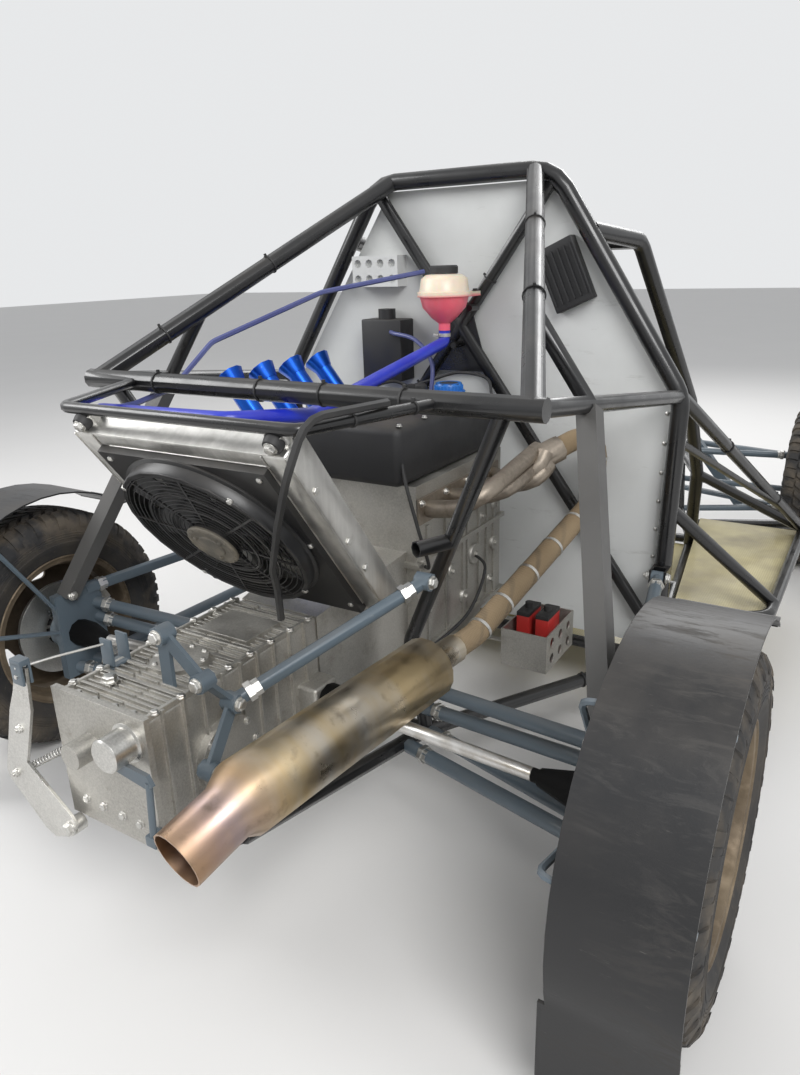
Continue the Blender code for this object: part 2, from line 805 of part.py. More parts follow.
def make_rear_frame(car):
    solids = [rod(at(1, CROSS_HALF + CROSS_OVERHANG, CROSS_Y, CROSS_Z),
                  at(-1, CROSS_HALF + CROSS_OVERHANG, CROSS_Y, CROSS_Z), MAIN_R, MAIN_SIDES)]
    for side in (-1, 1):
        top, rear = stay_points(side)
        solids.append(rod(top, rear, MAIN_R, MAIN_SIDES))
        corner, shoulder = side_top_points(side)
        solids.append(rod(corner, shoulder, SECOND_R))
        brace_top = along(top, rear, MID_BRACE_STAY_SHARE)
        brace_foot = along(corner, shoulder, MID_BRACE_SIDE_SHARE)
        solids.append(rod(brace_top, brace_foot, SECOND_R))
        v_top = at(side, V_TOP_HALF, CROSS_Y, CROSS_Z)
        v_foot = at(side, V_FOOT_HALF, V_FOOT_Y, V_FOOT_Z)
        low_corner = at(side, LOW_CROSS_HALF, LOW_CROSS_Y, LOW_CROSS_Z)
        solids.append(tube([v_top, v_foot, low_corner], SECOND_R))
        solids.append(rod(*low_rail_points(side), SECOND_R))
        cradle = at(side, CRADLE_HALF, CRADLE_Y, CRADLE_Z)
        solids.append(rod(low_corner, cradle, SECOND_R))
    low = at(1, LOW_CROSS_HALF, LOW_CROSS_Y, LOW_CROSS_Z)
    solids.append(rod(low, at(-1, LOW_CROSS_HALF, LOW_CROSS_Y, LOW_CROSS_Z), SECOND_R))
    solids.append(rod(at(1, CRADLE_HALF, CRADLE_Y, CRADLE_Z), at(-1, CRADLE_HALF, CRADLE_Y, CRADLE_Z), SECOND_R))
    post = Vector((0, CRADLE_Y, CRADLE_Z))
    solids.append(rod(post, post + Vector((0, 0, BOX_LOW_Z - GAP - CRADLE_Z)), SECOND_R))
    stub = along(at(-1, V_TOP_HALF, CROSS_Y, CROSS_Z), at(-1, V_FOOT_HALF, V_FOOT_Y, V_FOOT_Z), STUB_SHARE)
    stub_end = stub + Vector((STUB_LONG / 2, STUB_LONG, 0))
    solids.append(rod(stub, stub_end, SECOND_R))
    hanger = [rad_matrix() @ at(side, HANGER_HALF, -RAD_CORE_T / 2, LUG_T + THIN_R + GAP) for side in (1, -1)]
    solids.append(tube([at(1, HANGER_LEFT_HALF, CROSS_Y, CROSS_Z), *hanger,
                        at(-1, HANGER_RIGHT_HALF, CROSS_Y, CROSS_Z)], THIN_R, bend=TUBE_BEND / 2))
    ahead = (stub_end - stub).normalized()
    cuts = [hoop_tube(GAP), foot_tube(GAP), *x_brace(GAP),
            rod(stub + ahead * (SECOND_R + STUB_WALL), stub_end + ahead * OVERRUN, SECOND_R - STUB_WALL)]
    car.add("rear_frame", fused_mesh(solids, cuts, "MANIFOLD"), "gloss_black")


def floor_rail_points(side):
    return [at(side, FOOT_HALF, 0, FLOOR_Z), at(side, FLOOR_KNEE_HALF, FLOOR_KNEE_Y, FLOOR_Z),
            at(side, NOSE_HALF, NOSE_Y, NOSE_LOW_Z)]


def floor_rail(side, grow=0.0):
    return tube(floor_rail_points(side), SECOND_R + grow, steps=2)


def floor_rail_place(side, y):
    start, knee, nose = floor_rail_points(side)
    if y > knee.y:
        return along(start, knee, y / knee.y)
    return along(knee, nose, (y - knee.y) / (nose.y - knee.y))


def knee_place(side):
    return at(side, KNEE_HALF, KNEE_Y, KNEE_Z)


def nose_rail_place(side, y):
    nose = at(side, NOSE_HALF, NOSE_Y, NOSE_HIGH_Z)
    return along(knee_place(side), nose, (y - KNEE_Y) / (NOSE_Y - KNEE_Y))


def pillar_points(side):
    top = along(at(side, HOOP_TOP_HALF, 0, HOOP_TOP_Z), at(side, SHOULDER_HALF, 0, SHOULDER_Z), PILLAR_TOP_SHARE)
    header = at(side, HEADER_HALF, HEADER_Y, HEADER_Z)
    foot = floor_rail_place(side, PILLAR_FOOT_Y)
    knee = knee_place(side)
    return [top + (header - top).normalized() * MAIN_R / 2, header, at(side, DASH_HALF, DASH_Y, DASH_Z),
            knee, foot + (knee - foot).normalized() * MAIN_R / 2]


def pillar(side, grow=0.0, whole=True):
    points = pillar_points(side)
    if not whole:
        points[-1] = along(points[-2], points[-1], 0.5)
    return tube(points, MAIN_R + grow, MAIN_SIDES, steps=2)


def side_rail_points(side):
    corner = at(side, RAIL_HALF, RAIL_FRONT_Y, RAIL_Z)
    nose = floor_rail_place(side, RAIL_NOSE_Y)
    return [at(side, FOOT_HALF, -MAIN_R / 2, RAIL_Z), at(side, RAIL_HALF, RAIL_REAR_Y, RAIL_Z), corner,
            nose + (corner - nose).normalized() * SECOND_R / 2]


def knee_bar(side, grow=0.0):
    return rod(knee_place(side), at(side, RAIL_HALF, SIDE_BAR_END_Y, RAIL_Z), SECOND_R + grow)


def steering_axis():
    low = Vector((0, RACK_Y, RACK_Z))
    high = Vector((0, WHEEL_Y, WHEEL_Z))
    return low, high, (high - low).normalized()


def make_cockpit_cage(car):
    header = [at(side, HEADER_HALF, HEADER_Y, HEADER_Z) for side in (1, -1)]
    dash = [at(side, DASH_HALF, DASH_Y, DASH_Z) for side in (1, -1)]
    solids = [rod(*dash, SECOND_R), rod(*header, MAIN_R, MAIN_SIDES)]
    for side in (-1, 1):
        solids.append(pillar(side))
        solids.append(tube(side_rail_points(side), SECOND_R))
        shoulder = shoulder_place(side, -MAIN_R / 2)
        foot = at(side, FOOT_HALF, -MAIN_R / 2, FLOOR_Z)
        bar_end = at(side, RAIL_HALF, SIDE_BAR_END_Y, RAIL_Z)
        solids.append(rod(shoulder, bar_end, SECOND_R))
        solids.append(knee_bar(side))
        thin_top = along(foot, shoulder, (THIN_BAR_TOP_Z - FLOOR_Z) / (SHOULDER_Z - FLOOR_Z))
        solids.append(rod(thin_top, along(shoulder, bar_end, THIN_BAR_END_SHARE), THIN_R))
        leg = along(foot, shoulder, (SIDE_BRACE_Z - FLOOR_Z) / (SHOULDER_Z - FLOOR_Z))
        solids.append(rod(leg, at(side, RAIL_HALF, SIDE_BRACE_END_Y, RAIL_Z), SECOND_R))
    low, high, axis = steering_axis()
    bush = along(high, low, BUSH_SHARE)
    solids.append(rod(bush - axis * BUSH_LONG / 2, bush + axis * BUSH_LONG / 2, BUSH_R, MAIN_SIDES))
    bracket = Vector((0, DASH_Y, DASH_Z))
    reach = (bracket - bush).normalized()
    solids.append(beam(bush + reach * (COLUMN_R + SINK), bracket, BUSH_R, BUSH_LONG / 2, up=axis))
    cuts = [hoop_tube(GAP), foot_tube(GAP), floor_rail(1, GAP), floor_rail(-1, GAP),
            rod(bush - axis * BUSH_LONG, bush + axis * BUSH_LONG, COLUMN_R + PIN_CLEAR, MAIN_SIDES)]
    car.add("cockpit_cage", fused_mesh(solids, cuts), "gloss_black")


def tower_top(side):
    return at(side, TOWER_TOP_HALF, TOWER_Y, TOWER_TOP_Z)


def make_floor_frame(car):
    solids = []
    for height in (NOSE_LOW_Z, NOSE_HIGH_Z):
        solids.append(rod(at(1, NOSE_HALF, NOSE_Y, height), at(-1, NOSE_HALF, NOSE_Y, height), SECOND_R))
    for y in FLOOR_CROSS_YS + (PEDAL_Y, BOX_POST_Y):
        solids.append(rod(floor_rail_place(1, y), floor_rail_place(-1, y), SECOND_R))
    solids.append(rod(nose_rail_place(1, BOX_POST_Y), nose_rail_place(-1, BOX_POST_Y), SECOND_R))
    solids.append(rod(tower_top(1), tower_top(-1), FRONT_ARM_R))
    for side in (-1, 1):
        solids.append(floor_rail(side))
        solids.append(rod(knee_place(side), nose_rail_place(side, NOSE_Y), SECOND_R))
        solids.append(rod(nose_rail_place(side, NOSE_Y), floor_rail_place(side, NOSE_Y), SECOND_R))
        solids.append(rod(nose_rail_place(side, BOX_POST_Y), floor_rail_place(side, BOX_POST_Y), SECOND_R))
        solids.append(rod(nose_rail_place(side, TOWER_Y), tower_top(side), FRONT_ARM_R))
        foot = Vector((side * RACK_HOUSING_HALF * 0.7, BOX_POST_Y, floor_rail_place(side, BOX_POST_Y).z))
        seat = Vector((foot.x, RACK_Y + RACK_HOUSING_R / 2, RACK_Z))
        solids.append(beam(foot, seat, PLATE_T * 6, PLATE_T * 2, up=(0, 1, 0)))
    rack = [Vector((side * RACK_HOUSING_HALF, RACK_Y, RACK_Z)) for side in (1, -1)]
    solids.append(rod(*rack, RACK_HOUSING_R, MAIN_SIDES))
    low, high, axis = steering_axis()
    pinion = along(high, low, PINION_SHARE)
    solids.append(rod(pinion, low + axis * RACK_BAR_R, PINION_R, MAIN_SIDES))
    for x in PEDAL_XS:
        foot = Vector((x, PEDAL_Y, FLOOR_Z))
        top = foot + Vector((0, PEDAL_LEAN, PEDAL_H))
        solids.append(beam(foot, top, PEDAL_ARM_W, PLATE_T * 2, up=(0, 1, 0)))
        solids.append(block(top - Vector((PEDAL_PAD / 2, PLATE_T, PEDAL_PAD)),
                            top + Vector((PEDAL_PAD / 2, PLATE_T, PEDAL_ARM_W))))
    bore = Vector((RACK_HOUSING_HALF + OVERRUN, 0, 0))
    middle = Vector((0, RACK_Y, RACK_Z))
    cuts = [hoop_tube(GAP), foot_tube(GAP), pillar(1, GAP, False), pillar(-1, GAP, False),
            knee_bar(1, GAP), knee_bar(-1, GAP), rod(middle + bore, middle - bore, RACK_BAR_R + RACK_CLEAR, MAIN_SIDES),
            rod(pinion + axis * OVERRUN, low + axis * (RACK_HOUSING_R + RACK_CLEAR), COLUMN_R + PIN_CLEAR, MAIN_SIDES)]
    car.add("floor_frame", fused_mesh(solids, cuts), "gloss_black")


def make_undertray(car):
    top = FLOOR_Z - SECOND_R - GAP
    shelf_top = RAIL_Z - SECOND_R - GAP
    rear = floor_rail_place(1, TRAY_REAR_Y).x + TRAY_SIDE_CLEAR
    front = floor_rail_place(1, TRAY_FRONT_Y).x + TRAY_SIDE_CLEAR
    pan = [(rear, TRAY_REAR_Y), (front, TRAY_FRONT_Y), (-front, TRAY_FRONT_Y), (-rear, TRAY_REAR_Y)]
    solids = [prism(pan, top - TRAY_T, top, "Z")]
    for side in (-1, 1):
        wall = [(side * rear, TRAY_REAR_Y), (side * front, TRAY_FRONT_Y),
                (side * (front - TRAY_T), TRAY_FRONT_Y), (side * (rear - TRAY_T), TRAY_REAR_Y)]
        solids.append(prism(wall, top - TRAY_T, shelf_top, "Z"))
        shelf = [(side * (rear - TRAY_T), TRAY_REAR_Y), (side * TRAY_SIDE_HALF, TRAY_SIDE_REAR_Y),
                 (side * TRAY_SIDE_HALF, TRAY_FRONT_Y), (side * (front - TRAY_T), TRAY_FRONT_Y)]
        solids.append(prism(shelf, shelf_top - TRAY_T, shelf_top, "Z"))
    car.add("undertray", fused_mesh(solids), "tray_weave")


def make_firewall(car):
    back = -MAIN_R - GAP
    outline = [(FOOT_HALF - MAIN_R, FIREWALL_FOOT_Z), (SHOULDER_HALF - MAIN_R, SHOULDER_Z),
               (HOOP_TOP_HALF - MAIN_R, HOOP_TOP_Z - MAIN_R)]
    outline += [(-x, z) for x, z in reversed(outline)]
    solids = [prism(outline, back - FIREWALL_T, back, "Y")]
    box_back = back + RELAY_D
    solids.append(block((RELAY_X - RELAY_W / 2, back - FIREWALL_T / 2, RELAY_Z - RELAY_H / 2),
                        (RELAY_X + RELAY_W / 2, box_back, RELAY_Z + RELAY_H / 2)))
    cuts = [pillar(1, GAP), pillar(-1, GAP)]
    for column in range(RELAY_COLUMNS):
        for row in range(RELAY_ROWS):
            x = RELAY_X + RELAY_W * ((column + 0.5) / RELAY_COLUMNS - 0.5)
            z = RELAY_Z + RELAY_H * ((row + 0.5) / RELAY_ROWS - 0.5)
            cuts.append(rod((x, box_back - RELAY_D / 4, z), (x, box_back + OVERRUN, z), RELAY_HOLE_R))
    car.add("firewall", fused_mesh(solids, cuts), "sheet_grey")


def make_seat(car):
    low = FLOOR_Z + SECOND_R + GAP
    half = SEAT_W / 2
    side_view = [(SEAT_FRONT_Y, low), (SEAT_REAR_Y, low), (SEAT_TOP_Y, SEAT_TOP_Z),
                 (SEAT_TOP_Y - SEAT_BOLSTER / 3, SEAT_TOP_Z), (SEAT_REAR_Y - SEAT_BOLSTER, low + SEAT_BOLSTER * 2),
                 (SEAT_FRONT_Y, SEAT_NOSE_Z)]
    hollow = [(SEAT_FRONT_Y - OVERRUN, SEAT_NOSE_Z - SEAT_WALL * 3), (SEAT_REAR_Y - SEAT_WALL * 2, low + SEAT_WALL),
              (SEAT_TOP_Y - SEAT_WALL * 1.3, SEAT_TOP_Z + OVERRUN),
              (SEAT_FRONT_Y - OVERRUN, SEAT_TOP_Z + OVERRUN)]
    shell = prism(side_view, -half, half, "X")
    room = prism(hollow, -half + SEAT_WALL, half - SEAT_WALL, "X")
    mesh = fused_mesh([shell], [room])
    waist = low + SEAT_BOLSTER * 2
    for vertex in mesh.vertices:
        if vertex.co.z > waist + SINK:
            vertex.co.x *= SEAT_TOP_HALF / half
    bm = bmesh.new()
    bm.from_mesh(mesh)
    bmesh.ops.triangulate(bm, faces=bm.faces)
    bm.to_mesh(mesh)
    bm.free()
    car.add("seat", mesh, "seat_shell")


def make_steering(car):
    low, high, axis = steering_axis()
    column_end = along(high, low, COLUMN_END_SHARE)
    turn = axis.to_track_quat("X", "Z").to_matrix().to_4x4()
    ring = turned(arc_outline((0, STEER_RIM_R), STEER_TUBE_R, 0, 360 - 360 / SECOND_SIDES, SECOND_SIDES - 1), 24)
    solids = [moved(ring, Matrix.Translation(high) @ turn),
              rod(high - axis * STEER_HUB_R / 2, high + axis * STEER_HUB_R / 4, STEER_HUB_R, MAIN_SIDES),
              rod(high, column_end, COLUMN_R, MAIN_SIDES)]
    for angle in (90, 210, 330):
        out = Matrix.Rotation(math.radians(angle), 3, axis) @ Vector((1, 0, 0))
        solids.append(beam(high, high + out * STEER_RIM_R, STEER_SPOKE_W, PLATE_T, up=axis))
    car.add_at("steering_wheel", fused_mesh(solids), "satin_black", high)

    ends = [Vector((side * KINGPIN_HALF, RACK_Y, RACK_Z)) for side in (1, -1)]
    solids = [rod(*ends, RACK_BAR_R, MAIN_SIDES)]
    for end in ends:
        half = Vector((0, 0, EYE_H / 2))
        solids.append(rod(end - half, end + half, EYE_R, MAIN_SIDES))
    car.add_at("tie_rods", fused_mesh(solids), "link_blue", (0, RACK_Y, RACK_Z))


# Engine and gearbox

def make_engine(car):
    side_view = [(BLOCK_FRONT_Y, SUMP_TOP_Z), (BLOCK_REAR_Y, SUMP_TOP_Z), (BLOCK_REAR_Y, HEAD_Z),
                 (BLOCK_FRONT_Y, HEAD_Z)]
    solids = [prism(side_view, -BLOCK_HALF, BLOCK_HALF, "X"),
              block((-SUMP_HALF, BLOCK_FRONT_Y + FLANGE_PROUD, SUMP_Z),
                    (SUMP_HALF, BLOCK_REAR_Y - FLANGE_PROUD, SUMP_TOP_Z + SINK), COVER_BEVEL)]
    bell = [(BLOCK_REAR_Y - SINK, BELL_LOW_Z), (BOX_FRONT_Y - GAP, BOX_LOW_Z), (BOX_FRONT_Y - GAP, BOX_HIGH_Z),
            (BLOCK_REAR_Y - SINK, BELL_HIGH_Z)]
    housing = prism(bell, -BELL_HALF, BELL_HALF, "X")
    for vertex in housing.data.vertices:
        if vertex.co.y > BLOCK_REAR_Y:
            vertex.co.x *= BOX_HALF / BELL_HALF
    solids.append(housing)
    for z in (SUMP_TOP_Z, (SUMP_TOP_Z + HEAD_Z) / 2 + RIB_T):
        solids.append(block((-BLOCK_HALF - FLANGE_PROUD, BLOCK_FRONT_Y - FLANGE_PROUD, z),
                            (BLOCK_HALF + FLANGE_PROUD, BLOCK_REAR_Y + FLANGE_PROUD, z + RIB_T)))
    for index in range(RIB_COUNT):
        y = BLOCK_FRONT_Y + (BLOCK_REAR_Y - BLOCK_FRONT_Y) * (index + 0.5) / RIB_COUNT
        solids.append(block((-BLOCK_HALF - RIB_PROUD / 2, y - RIB_T / 2, SUMP_TOP_Z + SINK),
                            (BLOCK_HALF + RIB_PROUD / 2, y + RIB_T / 2, PORT_Z - PRIMARY_R * 2)))
    car.add("engine_block", fused_mesh(solids), "cast_alloy")

    base = HEAD_Z + GAP
    cover = block((-COVER_HALF, COVER_FRONT_Y, base), (COVER_HALF, COVER_REAR_Y, COVER_Z), COVER_BEVEL)
    cap = Vector((FILLER_X, FILLER_Y, COVER_Z))
    solids = [cover, rod(cap - Vector((0, 0, SINK)), cap + Vector((0, 0, FILLER_H)), FILLER_R, MAIN_SIDES)]
    car.add("cam_cover", fused_mesh(solids), "satin_black")


def make_intake(car):
    root = BLOCK_HALF + GAP
    tilt = math.radians(TRUMPET_TILT_DEG)
    out = Vector((math.sin(tilt), 0, math.cos(tilt)))
    mouth = Vector((root + TRUMPET_DROP_X, 0, TRUMPET_PORT_Z + TRUMPET_DROP_X / math.tan(tilt)))
    last = TRUMPET_FIRST_Y + TRUMPET_PITCH * (TRUMPET_COUNT - 1)
    solids = [block((root, TRUMPET_FIRST_Y - TRUMPET_MOUTH_R, TRUMPET_PORT_Z - TRUMPET_MOUTH_R),
                    (root + TRUMPET_R * 1.3, last + TRUMPET_MOUTH_R, TRUMPET_PORT_Z + TRUMPET_MOUTH_R))]
    cuts = []
    for index in range(TRUMPET_COUNT):
        step = Vector((0, TRUMPET_FIRST_Y + TRUMPET_PITCH * index, 0))
        start = Vector((root + TRUMPET_R, 0, TRUMPET_PORT_Z)) + step
        end = mouth + step
        bell = end - out * TRUMPET_MOUTH_R
        solids.append(rod(start, end - out * SINK, TRUMPET_R, MAIN_SIDES))
        solids.append(rod(bell, end, TRUMPET_R, MAIN_SIDES, TRUMPET_MOUTH_R))
        cuts.append(rod(end - out * TRUMPET_LONG / 2, end + out * OVERRUN, TRUMPET_BORE_R, MAIN_SIDES))
    rail = (Vector((root, 0, TRUMPET_PORT_Z)) + mouth) / 2 + Vector((-out.z, 0, out.x)) * TRUMPET_R
    solids.append(rod(rail + Vector((0, TRUMPET_FIRST_Y - TRUMPET_R, 0)), rail + Vector((0, last + TRUMPET_R, 0)),
                      FUEL_RAIL_R))
    car.add("intake_trumpets", fused_mesh(solids, cuts), "anodised_blue")


def wrap_points():
    return [Vector((COLLECTOR_X, COLLECTOR_Y, COLLECTOR_Z)), Vector((LOOP_X + WRAP_R, LOOP_RETURN_Y, LOOP_HIGH_Z)),
            Vector((LOOP_X, LOOP_FRONT_Y, LOOP_HIGH_Z - WRAP_R)), Vector((LOOP_X, LOOP_FRONT_Y, LOOP_LOW_Z)),
            Vector((LOOP_X, LOOP_RETURN_Y, LOOP_LOW_Z - WRAP_R)), Vector((SLEEVE_X, SLEEVE_Y, SLEEVE_Z))]


def make_exhaust(car):
    face = -BLOCK_HALF - GAP
    collector = Vector((COLLECTOR_X, COLLECTOR_Y, COLLECTOR_Z))
    path = wrap_points()
    ahead = (path[1] - path[0]).normalized()
    last_y = PORT_FIRST_Y + PORT_PITCH * 3
    solids = [block((face - RIB_T / 2, PORT_FIRST_Y - PRIMARY_R * 2, PORT_Z - PRIMARY_R * 1.5),
                    (face, last_y + PRIMARY_R * 2, PORT_Z + PRIMARY_R * 1.5)),
              rod(collector - ahead * COLLECTOR_R * 2, collector - ahead * GAP, COLLECTOR_R, PRIMARY_SIDES)]
    sideways = ahead.cross(Vector((0, 0, 1))).normalized()
    up = sideways.cross(ahead)
    for index in range(4):
        y = PORT_FIRST_Y + PORT_PITCH * index
        target = collector - ahead * COLLECTOR_R * 1.5
        target = target + sideways * PRIMARY_SPREAD * (1 if index < 2 else -1)
        target = target + up * PRIMARY_SPREAD * (1 if index in (0, 3) else -1)
        bend_y = max(y, target.y + COLLECTOR_R)
        elbow = Vector((target.x * 0.55 + face * 0.45, bend_y, PORT_Z + PRIMARY_R / 2))
        rise = Vector((target.x + PRIMARY_R / 2, bend_y, (PORT_Z + target.z) / 2))
        solids.append(tube([(face - SINK / 2, y, PORT_Z), (face - PRIMARY_R, y, PORT_Z), elbow, rise, target],
                           PRIMARY_R, PRIMARY_SIDES, bend=WRAP_BEND, steps=2))
    car.add("exhaust_manifold", fused_mesh(solids), "steel")

    ahead = (Vector(SILENCER_FRONT) - path[-1]).normalized()
    end = path.pop() - ahead * GAP
    path += [end - ahead * WRAP_R * 3, end]
    car.add("exhaust_pipe", fused_mesh([tube(path, WRAP_R, WRAP_SIDES, WRAP_BEND)]), "heat_wrap")


def make_silencer(car):
    front = Vector(SILENCER_FRONT)
    rear = Vector(SILENCER_REAR)
    tail = Vector(TAIL_END)
    ahead = (rear - front).normalized()
    out = (tail - rear).normalized()
    path = [Vector((SLEEVE_X, SLEEVE_Y, SLEEVE_Z)), front - ahead * SILENCER_CONE, front, rear,
            rear + out * SILENCER_CONE, tail]
    radii = [SLEEVE_R, SLEEVE_R, SILENCER_R, SILENCER_R, TAIL_R, TAIL_R]
    mouth = rod(tail - out * TAIL_DEPTH, tail + out * OVERRUN, TAIL_R - TAIL_WALL, SILENCER_SIDES)
    car.add("silencer", fused_mesh([swept(path, radii, SILENCER_SIDES)], [mouth]), "steel")


def make_gearbox(car):
    solids = [block((-BOX_HALF, BOX_FRONT_Y, BOX_LOW_Z), (BOX_HALF, BOX_REAR_Y, BOX_HIGH_Z), BOX_BEVEL)]
    for index in range(BOX_RIB_COUNT):
        y = BOX_FRONT_Y + (BOX_REAR_Y - BOX_FRONT_Y) * (index + 1) / (BOX_RIB_COUNT + 1)
        solids.append(block((-BOX_HALF - BOX_RIB_PROUD, y - BOX_RIB_T / 2, BOX_LOW_Z + BOX_BEVEL * 3),
                            (BOX_HALF + BOX_RIB_PROUD, y + BOX_RIB_T / 2, BOX_HIGH_Z + BOX_RIB_PROUD)))
    solids.append(block((-OUTPUT_HALF, OUTPUT_Y - OUTPUT_R, OUTPUT_Z - OUTPUT_R),
                        (OUTPUT_HALF, OUTPUT_Y + OUTPUT_R, OUTPUT_Z + OUTPUT_R), BOX_BEVEL))
    solids.append(block((-BOX_HALF - BOX_RIB_PROUD * 2, BOX_REAR_Y - BOX_RIB_T * 2, BOX_LOW_Z - GAP / 3),
                        (BOX_HALF + BOX_RIB_PROUD * 2, BOX_REAR_Y, BOX_HIGH_Z + BOX_RIB_PROUD * 2)))
    solids.append(block((-TOP_COVER_HALF, TOP_COVER_Y - TOP_COVER_LONG / 2, BOX_HIGH_Z - SINK),
                        (TOP_COVER_HALF, TOP_COVER_Y + TOP_COVER_LONG / 2, BOX_HIGH_Z + TOP_COVER_H)))
    disc = Vector((0, TOP_DISC_Y, BOX_HIGH_Z))
    solids.append(rod(disc - Vector((0, 0, SINK)), disc + Vector((0, 0, TOP_COVER_H)), TOP_DISC_R, MAIN_SIDES))
    cover = Vector((-BOX_HALF, (OUTPUT_Y + BOX_REAR_Y) / 2 + BOX_COVER_R / 2, OUTPUT_Z + BOX_BEVEL))
    solids.append(rod(cover + Vector((SINK, 0, 0)), cover - Vector((BOX_COVER_PROUD, 0, 0)), BOX_COVER_R,
                      SILENCER_SIDES))
    cap = Vector((CAP_X, BOX_REAR_Y - SINK, CAP_Z))
    solids.append(rod(cap, Vector((CAP_X, CAP_Y, CAP_Z)), CAP_R, MAIN_SIDES))
    car.add("gearbox", fused_mesh(solids), "cast_alloy")


def make_linkage(car):
    """The shift rod beside the gearbox, its bellcrank and the levers on the rear corner."""
    foot = Vector((LEVER_X, LEVER_Y, BOX_HIGH_Z + GAP))
    top = Vector((LEVER_X, LEVER_Y, LEVER_TOP_Z))
    crank = Vector((CRANK_X, LEVER_Y, CRANK_Z))
    eye = Vector(SHIFT_ROD_REAR)
    front = Vector(SHIFT_ROD_FRONT)
    low = Vector(LOW_EYE)
    solids = [beam(foot, top, LEVER_W, LEVER_T, up=(0, 1, 0)), beam(top, crank, LEVER_W, LEVER_T, up=(0, 1, 0)),
              beam(crank, eye, LEVER_W, LEVER_T, up=(0, 1, 0)), beam(eye, low, LEVER_W, LEVER_T, up=(1, 0, 0)),
              rod(eye, front, SHIFT_ROD_R, MAIN_SIDES)]
    for pin, across in ((top, (0, 1, 0)), (crank, (0, 1, 0)), (eye, (1, 0, 0)), (low, (1, 0, 0)), (front, (1, 0, 0))):
        half = Vector(across) * LEVER_W * 0.6
        solids.append(rod(pin - half, pin + half, LEVER_W * 0.7))
    car.add("shift_linkage", fused_mesh(solids), "link_blue")


# Radiator and fan, drawn in the plane of the radiator's outer face

def rad_matrix():
    tilt = math.radians(RAD_TILT_DEG)
    return Matrix.Translation((0, RAD_TOP_Y, RAD_TOP_Z)) @ Matrix.Rotation(-tilt, 4, "X")


